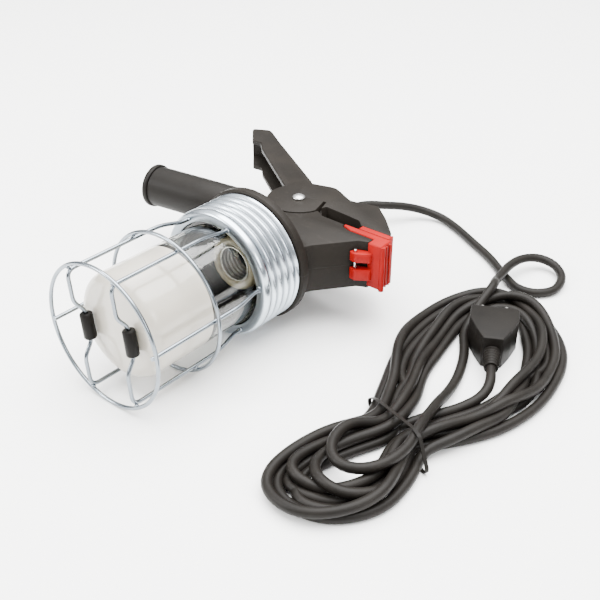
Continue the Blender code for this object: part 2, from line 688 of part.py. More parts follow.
def build_holder():
    """Screw lampholder: body, ceramic ring, thread shell, contact and screws."""
    holder = lathe("holder_body", [
        (BORE_FLOOR + GAP, 10.0), (BORE_FLOOR + GAP, 27.0), (-1.0, 27.0), (0.5, 26.0),
        (15.0, 25.6), (17.0, 24.6), (17.0, 22.4), (4.0, 22.4), (4.0, 18.0), (0.0, 18.0),
        (0.0, 10.0)], DARK, 0.35, 0.0, sides=24)
    for index, side in enumerate((-1.0, 1.0), start=1):
        near, far = side * 20.0, side * (HOLDER_SCREW_Y + 5.0)
        back, front = BORE_FLOOR + GAP, -1.5
        ear = prism(f"holder_ear_{index}", [(back, near), (front, near), (front, far), (back, far)],
                    AXIS_Z - 5.0, AXIS_Z + 5.0, DARK, 0.35, 0.0)
        boolean(holder, ear, "UNION")
        seat = (0.0, side * HOLDER_SCREW_Y, AXIS_Z)
        boolean(holder, screw_hole(f"ear_hole_{index}", seat, (1, 0, 0)), "DIFFERENCE")
        screw(f"holder_screw_{index}", -1.2, 6.0, 3.0, seat, (1, 0, 0))
    lathe("holder_ring", [
        (4.3, 14.9), (4.3, 22.0), (19.0, 22.0), (20.5, 20.6), (20.5, 16.4), (19.0, 14.9)],
        CREAM, 0.3, 0.0, sides=24)
    lathe("thread_shell", [
        (0.5, 12.8), (0.5, 14.4), (19.2, 14.4), (19.2, 13.6), (1.3, 13.6), (1.3, 12.8)],
        ZINC, 0.3, 1.0, sides=24)
    lathe("contact_base", [
        (-6.7, 0.0), (-6.7, 9.6), (0.2, 9.6), (0.2, 4.3), (-0.8, 4.3), (-0.8, 0.0)],
        CREAM, 0.4, 0.0, sides=24)
    lathe("centre_contact", [
        (-0.5, 0.0), (-0.5, 3.9), (0.9, 3.9), (2.4, 2.4), (2.4, 0.0)],
        COPPER, 0.3, 1.0, sides=16)


def build_cord_anchor():
    """Gland, clamp bar and screws that hold the lead in the housing."""
    lathe("cord_gland", [
        (-36.0, CORD_RADIUS + GAP), (-36.0, 5.2), (-12.6, 7.2), (-12.6, 8.6),
        (FLANGE_BACK - GAP, 8.6), (FLANGE_BACK - GAP, 6.0), (-5.1, 6.0),
        (-5.1, CORD_RADIUS + GAP)], DARK, 0.7, 0.0, sides=20, start=(0.0, 0.0, GLAND_Z))
    low = SADDLE_TOP + GAP
    bar = prism("cord_clamp_bar", [(-4.4, -12.5), (3.3, -12.5), (3.3, 12.5), (-4.4, 12.5)],
                low, low + 2.4, ZINC, 0.35, 1.0)
    for index, side in enumerate((-1.0, 1.0), start=1):
        seat = (-1.0, side * CLAMP_SCREW_Y, low + 2.4 + GAP)
        boolean(bar, screw_hole(f"bar_hole_{index}", seat, (0, 0, 1)), "DIFFERENCE")
        screw(f"clamp_screw_{index}", 0.0, 9.0, 2.6, seat, (0, 0, 1))


def build_lead():
    """Lead from the gland to the hank, the tied hank and the plug."""
    route = [(-36.4, 0.0, GLAND_Z), (-65.0, -1.0, GLAND_Z), (-102.0, -8.0, 22.0),
             (-138.0, -20.0, 23.0), (-166.0, -28.0, 23.0), (-187.0, -24.0, 21.5),
             (-203.0, -13.0, 18.5), (-220.0, -1.0, 14.5), (-233.0, 12.0, 9.5),
             (-238.0, 30.0, 5.5), (-231.0, 51.0, 4.2), (-217.0, 76.0, 4.2),
             (-200.0, 105.0, 4.2), (-181.0, 130.0, 4.2), (-170.0, 148.0, 4.2),
             (-172.0, 164.0, 4.2), (-186.0, 174.0, 4.4), (-206.0, 171.0, 5.5),
             (-219.0, 158.0, 7.5), (-218.0, 143.0, 10.0), (-204.0, 134.0, 12.4),
             (-185.0, 131.5, 12.8), (-164.0, 134.0, 12.8), (-147.2, 138.0, 12.8)]
    wire("power_cord", smooth_route(route, 15.0), CORD_RADIUS, DARK, 0.6, 0.0, resolution=2)


def closed_route(points, steps):
    """A smooth closed outline through hand-chosen points."""
    outline_points = []
    count = len(points)
    for index in range(count):
        a, b, c, d = (Vector(points[(index + offset) % count]) for offset in (-1, 0, 1, 2))
        for step in range(steps):
            t = step / steps
            point = 0.5 * (2 * b + (c - a) * t + (2 * a - 5 * b + 4 * c - d) * t * t
                           + (3 * b - a - 3 * c + d) * t ** 3)
            outline_points.append(tuple(point))
    return outline_points


def plug_point(along, across):
    """Plan position in the plug's own directions."""
    x = PLUG_START[0] + along * math.cos(PLUG_HEADING) - across * math.sin(PLUG_HEADING)
    y = PLUG_START[1] + along * math.sin(PLUG_HEADING) + across * math.cos(PLUG_HEADING)
    return (x, y)


def plug_outline(corners):
    return [(*plug_point(along, across), fillet) for along, across, fillet in corners]


def build_hank():
    """Outer shape of the tied hank, open round the plug, and its tie."""
    look = (DARK, 0.6, 0.0)
    edge = [(-139.0, 134.0), (-149.0, 156.0), (-144.0, 184.0), (-124.0, 211.0), (-88.0, 232.0),
            (-42.0, 243.0), (0.0, 239.0), (34.0, 221.0), (60.0, 200.0), (84.0, 207.0),
            (116.0, 215.0), (142.0, 205.0), (155.0, 184.0), (147.0, 157.0), (122.0, 149.0),
            (86.0, 154.0), (50.0, 160.0), (14.0, 147.0), (-26.0, 126.0), (-68.0, 116.0),
            (-110.0, 118.0)]
    hank = prism("cord_hank", closed_route(edge, 3), HANK_LOW, HANK_HIGH, *look)
    soften(hank, 6.0, 2, 60.0)
    hollow = prism("hank_hollow", outline(plug_outline([
        (-20.8, -12.0, 4.0), (-20.8, 12.0, 4.0), (-6.0, 23.0, 10.0), (68.0, 23.0, 16.0),
        (68.0, -23.0, 16.0), (-6.0, -23.0, 10.0)])), HANK_LOW - 5.0, HANK_HIGH + 5.0, *look)
    boolean(hank, hollow, "DIFFERENCE")
    tie = prism("hank_tie", tie_outline(31.0, 3.5), 0.6, HANK_HIGH + 1.9, DARK, 0.6, 0.0)
    inside = prism("tie_inside", tie_outline(29.5, 6.0), 2.1, HANK_HIGH + 0.4, *look)
    boolean(tie, inside, "DIFFERENCE")


def tie_outline(half_length, half_width):
    """Rectangle across the hank's waist."""
    heading = math.radians(63.0)
    corners = []
    for along, across in ((-1, -1), (1, -1), (1, 1), (-1, 1)):
        u, v = along * half_length, across * half_width
        corners.append((53.0 + u * math.cos(heading) - v * math.sin(heading),
                        180.0 + u * math.sin(heading) + v * math.cos(heading)))
    return corners


def build_plug():
    """Moulded two-pin plug lying inside the hank."""
    body = prism("plug_body", outline(plug_outline([
        (0.0, -7.5, 1.0), (0.0, 7.5, 1.0), (12.0, 13.0, 6.0), (28.0, 18.5, 8.0),
        (PLUG_LENGTH, 18.5, 2.0), (PLUG_LENGTH, -18.5, 2.0), (28.0, -18.5, 8.0),
        (12.0, -13.0, 6.0)])), GAP, 2 * PLUG_LEVEL - GAP, DARK, 0.45, 0.0)
    soften(body, 4.0, 3, 60.0)
    heading = (math.cos(PLUG_HEADING), math.sin(PLUG_HEADING), 0.0)
    start = (*PLUG_START, PLUG_LEVEL)
    lathe("plug_relief", [(-20.0, CORD_RADIUS + GAP), (-20.0, 5.2), (-GAP, 6.6),
                          (-GAP, CORD_RADIUS + GAP)], DARK, 0.6, 0.0,
          sides=16, start=start, axis=heading)
    for index, across in enumerate((-9.5, 9.5), start=1):
        pin_start = (*plug_point(PLUG_LENGTH + GAP, across), PLUG_LEVEL)
        lathe(f"plug_pin_{index}", [(0.0, 0.0), (0.0, 2.0), (10.0, 2.0), (10.0, 2.4),
                                    (18.0, 2.4), (19.0, 1.6), (19.0, 0.0)], STEEL, 0.25, 1.0,
              sides=14, start=pin_start, axis=heading)


def build_all():
    for item in list(bpy.data.objects):
        bpy.data.objects.remove(item)
    build_body()
    build_handle()
    build_lever()
    build_pivot()
    build_pads()
    build_collar()
    build_hoops()
    build_u_wires()
    build_side_wires()
    build_jar()
    build_holder()
    build_cord_anchor()
    build_lead()
    build_hank()
    build_plug()


build_all()
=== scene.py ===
"""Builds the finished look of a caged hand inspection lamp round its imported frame."""

import math

import bmesh
import bpy
import numpy as np
from mathutils import Matrix, Vector


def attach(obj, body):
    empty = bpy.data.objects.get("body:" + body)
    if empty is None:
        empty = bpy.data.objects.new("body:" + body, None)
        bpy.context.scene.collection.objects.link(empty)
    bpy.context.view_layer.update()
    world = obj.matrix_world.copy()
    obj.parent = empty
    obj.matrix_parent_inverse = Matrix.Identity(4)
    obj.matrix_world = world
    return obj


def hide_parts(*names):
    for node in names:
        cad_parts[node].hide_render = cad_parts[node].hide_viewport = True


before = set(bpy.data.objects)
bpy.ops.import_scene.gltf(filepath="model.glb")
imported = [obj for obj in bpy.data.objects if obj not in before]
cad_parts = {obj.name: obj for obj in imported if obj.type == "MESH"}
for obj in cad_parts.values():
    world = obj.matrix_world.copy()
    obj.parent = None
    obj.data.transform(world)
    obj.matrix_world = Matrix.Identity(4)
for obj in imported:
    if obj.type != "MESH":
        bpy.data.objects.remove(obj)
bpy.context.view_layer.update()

bl_info = {
    "name": "Caged Hand Lamp",
    "version": (1, 0, 0),
    "blender": (4, 5, 0),
    "location": "View3D > Sidebar > Hand Lamp",
    "description": "Finishes a caged hand inspection lamp and its mains lead",
    "category": "Object",
}

# Shapes are worked out in millimetres from the flange's centre, on the floor.
MM = 0.001
SHIFT_X = 12.9454
SHIFT_Y = 31.3627
AXIS_Z = 56.0
UPRIGHT = (0.0, 0.0, 1.0)

PIVOT = (-71.0, -9.0)
PAD_PIN = (-38.4, 73.8, 0.0)
NECK_RADIUS = 47.6
THREAD_GAP = 1.2
HANDLE_ROOT = (-56.2, -52.0, AXIS_Z)
HANDLE_END = (-41.8, -154.2, AXIS_Z)
GLAND_LEVEL = 21.0

CAGE_ROLL = math.radians(6.0)
WIRE = 1.5
HOOP = 54.5
RAIL = 51.2
RAIL_RISE = math.asin(22.5 / RAIL)
FRONT_X = 149.0
MIDDLE_X = 91.0
JAR_END = 137.0


# ------------------------------------------------------------ small tools

def place(x, y, z):
    """A point given in millimetres from the flange's centre, in metres from the origin."""
    return Vector(((x + SHIFT_X) * MM, (y + SHIFT_Y) * MM, z * MM))


def around_axis(x, radius, angle):
    """Millimetres: a point at a radius and angle round the lamp's axis."""
    return (x, radius * math.cos(angle), AXIS_Z + radius * math.sin(angle))


def sizes():
    return bpy.context.scene.lamp_sizes


def colours():
    return bpy.context.scene.lamp_colours


def add_piece(name, mesh, finish_name):
    """Links a mesh with its finish as an object at the origin."""
    mesh.materials.clear()
    mesh.materials.append(finish(finish_name))
    piece = bpy.data.objects.new(name, mesh)
    bpy.context.scene.collection.objects.link(piece)
    return piece


def shaded(mesh, angle=35.0):
    """Smooth shading with the edges above an angle kept sharp."""
    mesh.shade_smooth()
    mesh.set_sharp_from_angle(angle=math.radians(angle))
    return mesh


def mesh_from(name, points, faces, angle=35.0):
    """A mesh from points in metres, with its faces turned outwards."""
    mesh = bpy.data.meshes.new(name)
    mesh.from_pydata([tuple(point) for point in points], [], faces)
    form = bmesh.new()
    form.from_mesh(mesh)
    bmesh.ops.remove_doubles(form, verts=form.verts, dist=1e-7)
    bmesh.ops.recalc_face_normals(form, faces=form.faces)
    form.to_mesh(mesh)
    form.free()
    return shaded(mesh, angle)


def turned(name, profile, finish_name, sides=72, start=(0.0, 0.0, AXIS_Z),
           axis=(1.0, 0.0, 0.0), angle=35.0):
    """A closed turned form; the profile is (distance along, radius) in millimetres."""
    along = Vector(axis).normalized()
    side = along.orthogonal().normalized()
    other = along.cross(side)
    origin = place(*start)
    points = []
    rings = []
    for distance, radius in profile:
        centre = origin + along * distance * MM
        if radius <= 0.0:
            points.append(centre)
            rings.append([len(points) - 1] * sides)
            continue
        rings.append(list(range(len(points), len(points) + sides)))
        for index in range(sides):
            turn = 2 * math.pi * index / sides
            spoke = side * math.cos(turn) + other * math.sin(turn)
            points.append(centre + spoke * radius * MM)
    mesh = mesh_from(name, points, lattice(rings), angle)
    return add_piece(name, mesh, finish_name)


def lattice(rings):
    """Faces between each ring of point numbers and the next, back to the first."""
    faces = []
    for ring, following in zip(rings, rings[1:] + rings[:1]):
        for index in range(len(ring)):
            ahead = (index + 1) % len(ring)
            corners = [ring[index], ring[ahead], following[ahead], following[index]]
            corners = list(dict.fromkeys(corners))
            if len(corners) > 2:
                faces.append(corners)
    return faces


def corner_arc(before, here, after, radius, share, steps):
    """Points round a corner, using at most a share of each straight run."""
    middle = Vector(here)
    back = Vector(before) - middle
    ahead = Vector(after) - middle
    reach = min(radius, back.length * share, ahead.length * share)
    start = middle + back.normalized() * reach
    end = middle + ahead.normalized() * reach
    marks = [step / steps for step in range(steps + 1)]
    return [(1 - t) ** 2 * start + 2 * t * (1 - t) * middle + t * t * end for t in marks]


def rounded(profile, radius):
    """Profile corners rounded; the first and last points stay."""
    smooth = [profile[0]]
    for corner in zip(profile, profile[1:], profile[2:]):
        smooth += [tuple(point) for point in corner_arc(*corner, radius, 0.45, 4)]
    return smooth + [profile[-1]]


def bent_path(corners):
    """An open path whose corners (x, y, z, radius) are rounded."""
    spots = [Vector(corner[:3]) for corner in corners]
    path = [spots[0]]
    for corner, (*_, radius) in zip(zip(spots, spots[1:], spots[2:]), corners[1:]):
        path += corner_arc(*corner, radius, 0.49, 8)
    return path + [spots[-1]]


def bar_curve(name, path, radius, cyclic, resolution):
    """A curve with a round section along a path in metres."""
    curve = bpy.data.curves.new(name, "CURVE")
    curve.dimensions = "3D"
    curve.bevel_depth = radius
    curve.bevel_resolution = resolution
    curve.use_fill_caps = not cyclic
    spline = curve.splines.new("POLY")
    spline.points.add(len(path) - 1)
    for point, position in zip(spline.points, path):
        point.co = (*position, 1.0)
    spline.use_cyclic_u = cyclic
    return curve


def plain_mesh(piece):
    """The evaluated shape of an object as a mesh of its own."""
    graph = bpy.context.evaluated_depsgraph_get()
    return bpy.data.meshes.new_from_object(piece.evaluated_get(graph), depsgraph=graph)


def bar(name, path, radius, finish_name, cyclic=False):
    """A round bar along a path in millimetres, as a mesh."""
    curve = bar_curve(name, [place(*point) for point in path], radius * MM, cyclic, 4)
    guide = bpy.data.objects.new(name + "_guide", curve)
    bpy.context.scene.collection.objects.link(guide)
    mesh = plain_mesh(guide)
    mesh.name = name
    bpy.data.objects.remove(guide)
    bpy.data.curves.remove(curve)
    return add_piece(name, shaded(mesh, 50.0), finish_name)


def refined(name, node, finish_name, width, segments):
    """A copy of a rigid node with its hard edges rounded a little."""
    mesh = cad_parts[node].data.copy()
    mesh.name = name
    form = bmesh.new()
    form.from_mesh(mesh)
    bmesh.ops.remove_doubles(form, verts=form.verts, dist=2e-6)
    bmesh.ops.dissolve_limit(form, angle_limit=math.radians(0.6), verts=form.verts,
                             edges=form.edges)
    form.to_mesh(mesh)
    form.free()
    piece = add_piece(name, mesh, finish_name)
    edge = piece.modifiers.new("rounded edges", "BEVEL")
    edge.width = width
    edge.segments = segments
    edge.limit_method = "ANGLE"
    edge.angle_limit = math.radians(32.0)
    edge.use_clamp_overlap = True
    finished = plain_mesh(piece)
    bpy.data.objects.remove(piece)
    bpy.data.meshes.remove(mesh)
    return add_piece(name, shaded(finished, 30.0), finish_name)


def stands_for(piece, body, slot, *nodes):
    """The piece rides on a body and stands for nodes, which are hidden; the slot is not used."""
    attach(piece, body)
    if nodes:
        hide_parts(*nodes)
    return piece


def softened(name, look, body, slot, node, width=None, segments=2):
    """A node's softened copy that stands for it."""
    piece = refined(name, node, look, width or sizes().edge, segments)
    return stands_for(piece, body, slot, node)


def lathed(name, profile, look, body, slot, node, *shape, **options):
    """A turned form that stands for a node."""
    return stands_for(turned(name, profile, look, *shape, **options), body, slot, node)


# -------------------------------------------------------------- materials

class Number:
    """A number in a material that takes part in sums."""

    def __init__(self, paint, socket):
        self.paint = paint
        self.socket = socket

    def join(self, operation, *values):
        node = self.paint.node("ShaderNodeMath", {"operation": operation},
                               dict(enumerate(values)))
        return Number(self.paint, node.outputs[0])

    def __add__(self, other):
        return self.join("ADD", self, other)

    def __radd__(self, other):
        return self.join("ADD", other, self)

    def __sub__(self, other):
        return self.join("SUBTRACT", self, other)

    def __rsub__(self, other):
        return self.join("SUBTRACT", other, self)

    def __mul__(self, other):
        return self.join("MULTIPLY", self, other)

    def __rmul__(self, other):
        return self.join("MULTIPLY", other, self)

    def __abs__(self):
        return self.join("ABSOLUTE", self)

    def root(self):
        return self.join("SQRT", self)

    def rise(self, low, high):
        """0 below low, 1 above high and a smooth step between."""
        node = self.paint.node("ShaderNodeMapRange", {"interpolation_type": "SMOOTHSTEP"},
                               {0: self, 1: low, 2: high, 3: 0.0, 4: 1.0})
        return Number(self.paint, node.outputs[0])


class Graph:
    """A node tree while it is made."""

    def __init__(self, tree):
        self.tree = tree

    def node(self, kind, settings=None, values=None):
        """A node with its settings first, then the values or links of its sockets."""
        made = self.tree.nodes.new(kind)
        for key, setting in (settings or {}).items():
            setattr(made, key, setting)
        for key, value in (values or {}).items():
            self.feed(made.inputs[key], value)
        return made

    def feed(self, socket, value):
        if isinstance(value, Number):
            value = value.socket
        if isinstance(value, bpy.types.NodeSocket):
            self.tree.links.new(value, socket)
        else:
            socket.default_value = value


class Paint(Graph):
    """One procedural material while it is made."""

    def __init__(self, name, colour, roughness=0.5, metallic=0.0, **constants):
        self.material = bpy.data.materials.new(name)
        self.material.use_nodes = True
        self.material.diffuse_color = (*colour[:3], 1.0)
        super().__init__(self.material.node_tree)
        self.tree.nodes.clear()
        values = {"Base Color": (*colour[:3], 1.0), "Roughness": roughness, "Metallic": metallic}
        values.update({key.replace("_", " "): value for key, value in constants.items()})
        self.surface = self.node("ShaderNodeBsdfPrincipled", {}, values)
        self.output = self.node("ShaderNodeOutputMaterial", {},
                                {"Surface": self.surface.outputs[0]})
        self.where = self.node("ShaderNodeTexCoord").outputs["Object"]

    def give(self, **values):
        """Feeds the surface's sockets and gives back the material."""
        for key, value in values.items():
            self.feed(self.surface.inputs[key.replace("_", " ")], value)
        return self.material

    def noise(self, scale, detail=2.0, roughness=0.5, stretch=None):
        """Noise from 0 to 1; the scale is in features per metre."""
        where = self.where
        if stretch:
            where = self.node("ShaderNodeMapping", {}, {"Vector": where, "Scale": stretch})
            where = where.outputs[0]
        node = self.node("ShaderNodeTexNoise", {}, {
            "Vector": where, "Scale": scale, "Detail": detail, "Roughness": roughness})
        return Number(self, node.outputs[0])

    def coordinates(self):
        """Millimetres along, across and above the lamp's axis."""
        node = self.node("ShaderNodeSeparateXYZ", {}, {0: self.where})
        x, y, z = (Number(self, socket) * 1000.0 for socket in node.outputs)
        return x - SHIFT_X, y - SHIFT_Y, z

    def blend(self, factor, first, second):
        """A colour between two others."""
        node = self.node("ShaderNodeMix", {"data_type": "RGBA"})
        for index, value in ((0, factor), (6, first), (7, second)):
            if index > 0 and not isinstance(value, (Number, bpy.types.NodeSocket)):
                value = (*value[:3], 1.0)
            self.feed(node.inputs[index], value)
        return node.outputs[2]

    def bump(self, height, distance):
        """Relief of a height from 0 to 1 times a distance in metres."""
        return self.node("ShaderNodeBump", {}, {
            "Height": height, "Distance": distance, "Strength": 1.0}).outputs[0]


def darker(colour, share):
    return tuple(channel * share for channel in colour[:3])


def moulding_paint(name, colour, seam):
    """Spark-textured black moulding with handling marks and a parting line."""
    paint = Paint(name, colour, 0.5, Specular_IOR_Level=0.11)
    grain = paint.noise(2600.0, 3.0, 0.6)
    cloud = paint.noise(38.0, 3.0, 0.55)
    scuff = paint.noise(160.0, 4.0, 0.7, stretch=(1.0, 0.25, 1.0)).rise(0.60, 0.74)
    tone = paint.blend(cloud.rise(0.3, 0.7), darker(colour, 0.82), darker(colour, 1.16))
    tone = paint.blend(scuff * 0.35, tone, darker(colour, 1.9))
    height = grain
    if seam:
        z = paint.coordinates()[2]
        height = grain + (1.0 - abs(z - AXIS_Z).rise(0.08, 0.30)) * 6.0
    return paint.give(Base_Color=tone, Roughness=0.44 + cloud * 0.14 - scuff * 0.08,
                      Normal=paint.bump(height, 0.00003))


def red_paint(name, colour):
    """Satin red moulding, a little paler where it has been rubbed."""
    paint = Paint(name, colour, 0.38, Specular_IOR_Level=0.10)
    cloud = paint.noise(70.0, 3.0, 0.5)
    grain = paint.noise(2200.0, 2.0)
    rub = paint.noise(240.0, 4.0, 0.7).rise(0.58, 0.72)
    tone = paint.blend(cloud.rise(0.3, 0.7), darker(colour, 0.86), colour)
    tone = paint.blend(rub * 0.2, tone, (min(1.0, colour[0] * 1.15), 0.05, 0.03))
    return paint.give(Base_Color=tone, Roughness=0.33 + cloud * 0.12,
                      Normal=paint.bump(grain, 0.00002))


def zinc_paint(name, colour, streaks, grooved=False):
    """Bright zinc plating with a faint cloud and drawing marks, with painted shade and a little
    more roughness in a thread's grooves.
    """
    paint = Paint(name, colour, 0.24, 1.0)
    cloud = paint.noise(55.0, 4.0, 0.6)
    mark = paint.noise(420.0, 3.0, 0.6, stretch=streaks)
    speck = paint.noise(900.0, 3.0, 0.7).rise(0.62, 0.76)
    tone = paint.blend(cloud.rise(0.3, 0.72), darker(colour, 0.78), colour)
    tone = paint.blend(speck * 0.3, tone, darker(colour, 0.6))
    dull = speck * 0.12
    if grooved:
        y, z = paint.coordinates()[1:]
        up = z - AXIS_Z
        # Painted shade: the colour is darkened in the thread's grooves in place of the shade and
        # dark reflections there; the roughness there is raised too.
        groove = 1.0 - (y * y + up * up).root().rise(48.7, 50.3)
        tone = paint.blend(groove * 0.8, tone, darker(colour, 0.22))
        dull = dull + groove * 0.1
    return paint.give(Base_Color=tone, Roughness=0.14 + cloud * 0.08 + mark * 0.08 + dull,
                      Normal=paint.bump(mark, 0.00002))


def steel_paint(name, colour, roughness):
    """Formed or drawn steel with fine marks."""
    paint = Paint(name, colour, roughness, 1.0)
    mark = paint.noise(900.0, 3.0, 0.6, stretch=(1.0, 1.0, 0.2))
    cloud = paint.noise(200.0, 2.0)
    return paint.give(Base_Color=paint.blend(cloud, darker(colour, 0.8), colour),
                      Roughness=roughness + mark * 0.12, Normal=paint.bump(mark, 0.00001))


def rubber_paint(name, colour, sheen):
    """Rubber sheath: satin, with a faint bloom and fine extrusion marks."""
    paint = Paint(name, colour, 0.5, Specular_IOR_Level=sheen * 0.3)
    bloom = paint.noise(45.0, 4.0, 0.6)
    grain = paint.noise(1500.0, 3.0, 0.6)
    dust = paint.noise(420.0, 4.0, 0.75).rise(0.60, 0.78)
    tone = paint.blend(bloom.rise(0.3, 0.7), darker(colour, 0.8), darker(colour, 1.25))
    tone = paint.blend(dust * 0.16, tone, (0.06, 0.056, 0.050))
    return paint.give(Base_Color=tone, Roughness=0.40 + bloom * 0.16 + dust * 0.1,
                      Normal=paint.bump(grain, 0.00003))


def ceramic_paint(name, colour):
    """Glazed cream ceramic with faint crazing and pooled glaze."""
    paint = Paint(name, colour, 0.22, Coat_Weight=0.5, Coat_Roughness=0.08)
    pool = paint.noise(220.0, 3.0, 0.5)
    speck = paint.noise(1400.0, 2.0).rise(0.66, 0.74)
    tone = paint.blend(pool.rise(0.3, 0.7), darker(colour, 0.88), colour)
    tone = paint.blend(speck * 0.3, tone, darker(colour, 0.55))
    return paint.give(Base_Color=tone, Roughness=0.18 + pool * 0.14,
                      Normal=paint.bump(pool, 0.00006))


def jar_paint(name, colour):
    """Glass frosted over its front and clear at its neck, with a painted dark band of shade
    between.
    """
    paint = Paint(name, colour, 0.32, IOR=1.5, Coat_Weight=0.6, Coat_Roughness=0.05,
                  Subsurface_Weight=0.35, Subsurface_Radius=(0.02, 0.02, 0.018),
                  Transmission_Weight=0.12)
    x = paint.coordinates()[0]
    ripple = paint.noise(45.0, 3.0, 0.5)
    fine = paint.noise(600.0, 2.0)
    depth = (x - 76.0).rise(0.0, 62.0)
    tone = paint.blend(depth, colour, darker(colour, 0.93))
    tone = paint.blend(ripple.rise(0.35, 0.75) * 0.35, tone, darker(colour, 0.86))
    paint.give(Base_Color=tone, Roughness=0.26 + ripple * 0.12,
               Normal=paint.bump(ripple + fine * 0.05, 0.0004))
    clear = paint.node("ShaderNodeBsdfPrincipled", {}, {
        "Base Color": (0.62, 0.62, 0.58, 1.0), "Roughness": 0.03, "IOR": 1.45,
        "Transmission Weight": 1.0, "Normal": paint.bump(ripple, 0.0002)})
    # Painted shade: a near-black band where the frosting meets the clear neck.
    band = paint.node("ShaderNodeBsdfPrincipled", {}, {
        "Base Color": (0.012, 0.012, 0.010, 1.0), "Roughness": 0.1})
    edge = x + ripple * 0.8
    painted_shade_band = edge.rise(78.4, 79.2) * (1.0 - edge.rise(82.2, 83.0))
    front = paint.node("ShaderNodeMixShader", {}, {
        0: edge.rise(82.0, 83.0), 1: clear.outputs[0], 2: paint.surface.outputs[0]})
    whole = paint.node("ShaderNodeMixShader", {}, {
        0: painted_shade_band * 0.95, 1: front.outputs[0], 2: band.outputs[0]})
    paint.feed(paint.output.inputs["Surface"], whole.outputs[0])
    return paint.material


def floor_paint(name, colour):
    """Pale matt floor."""
    paint = Paint(name, colour, 0.7)
    cloud = paint.noise(2.0, 2.0)
    return paint.give(Base_Color=paint.blend(cloud, darker(colour, 0.985), colour))


FINISHES = {}


def finish(name):
    """The finish of that name, made the first time it is asked for."""
    if name in FINISHES:
        return FINISHES[name]
    tint = colours()
    recipes = {
        "housing_black": (moulding_paint, tint.housing, True),
        "grip_black": (moulding_paint, tint.grip, False),
        "jaw_red": (red_paint, tint.pads),
        # Painted light: the collar's zinc is painted 1.25 times as bright and the wires' zinc 0.46
        # times as dark, lit and shaded copies of the one plating.
        "collar_zinc": (zinc_paint, darker(tint.zinc, 1.25), (0.15, 1.0, 1.0), True),
        "wire_zinc": (zinc_paint, darker(tint.zinc, 0.46), (0.3, 1.0, 1.0)),
        "bright_steel": (steel_paint, (0.62, 0.62, 0.61), 0.2),
        "spring_steel": (steel_paint, (0.32, 0.32, 0.33), 0.35),
        "screw_steel": (steel_paint, (0.55, 0.55, 0.53), 0.28),
        "shell_nickel": (steel_paint, (0.66, 0.65, 0.62), 0.16),
        "contact_copper": (steel_paint, (0.78, 0.36, 0.17), 0.2),
        "lead_rubber": (rubber_paint, tint.lead, 0.4),
        "plug_rubber": (rubber_paint, darker(tint.lead, 0.85), 0.35),
        "sleeve_rubber": (rubber_paint, darker(tint.lead, 0.6), 0.3),
        "holder_black": (rubber_paint, (0.012, 0.011, 0.010), 0.6),
        "ring_ceramic": (ceramic_paint, tint.ceramic),
        "jar_glass": (jar_paint, tint.jar),
        "floor": (floor_paint, tint.floor),
    }
    maker, *values = recipes[name]
    FINISHES[name] = maker(name, *values)
    return FINISHES[name]


def repaint(node, name):
    """A rigid node keeps its shape and gets a finish."""
    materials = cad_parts[node].data.materials
    materials.clear()
    materials.append(finish(name))


# -------------------------------------------------------- geometry nodes

class Growth(Graph):
    """A Geometry Nodes tree with named inputs that grows pieces on guide points."""

    def __init__(self, name, *inputs):
        super().__init__(bpy.data.node_groups.new(name, "GeometryNodeTree"))
        sockets = self.tree.interface
        for way in ("INPUT", "OUTPUT"):
            sockets.new_socket("Geometry", in_out=way, socket_type="NodeSocketGeometry")
        sockets.new_socket("Finish", in_out="INPUT", socket_type="NodeSocketMaterial")
        for label, kind, default in inputs:
            socket = sockets.new_socket(label, in_out="INPUT", socket_type="NodeSocket" + kind)
            socket.default_value = default
        self.given = self.node("NodeGroupInput").outputs

    def spread(self, points, instance, scale=(1.0, 1.0, 1.0)):
        """Copies of an instance on points, made real and finished, close the tree."""
        copies = self.node("GeometryNodeInstanceOnPoints", {}, {
            "Points": points, "Instance": instance, "Scale": scale})
        real = self.node("GeometryNodeRealizeInstances", {}, {0: copies.outputs[0]})
        cover = self.node("GeometryNodeSetMaterial", {}, {
            "Geometry": real.outputs[0], "Material": self.given["Finish"]})
        self.node("NodeGroupOutput", {}, {0: cover.outputs[0]})
        return self.tree


def grown(name, tree, guide_points, finish_name, **values):
    """Runs a tree on guide points in metres and adds the plain mesh."""
    values["Finish"] = finish(finish_name)
    guide_mesh = bpy.data.meshes.new(name + "_guide")
    guide_mesh.from_pydata([tuple(point) for point in guide_points], [], [])
    guide = bpy.data.objects.new(name + "_guide", guide_mesh)
    bpy.context.scene.collection.objects.link(guide)
    modifier = guide.modifiers.new("grow", "NODES")
    modifier.node_group = tree
    for item in tree.interface.items_tree:
        if item.in_out == "INPUT" and item.name in values:
            modifier[item.identifier] = values[item.name]
    mesh = plain_mesh(guide)
    mesh.name = name
    guide.modifiers.remove(modifier)
    bpy.data.objects.remove(guide)
    bpy.data.meshes.remove(guide_mesh)
    return add_piece(name, shaded(mesh, 40.0), finish_name)


def nugget_tree():
    """A weld nugget on every guide point."""
    tree = Growth("weld nuggets", ("Radius", "Float", 0.0012), ("Seed", "Int", 3))
    ball = tree.node("GeometryNodeMeshIcoSphere", {}, {
        "Subdivisions": 2, "Radius": tree.given["Radius"]})
    vary = tree.node("FunctionNodeRandomValue", {"data_type": "FLOAT_VECTOR"}, {
        0: (0.85, 0.85, 0.7), 1: (1.15, 1.15, 1.0), "Seed": tree.given["Seed"]})
    return tree.spread(tree.given["Geometry"], ball.outputs["Mesh"], vary.outputs[0])


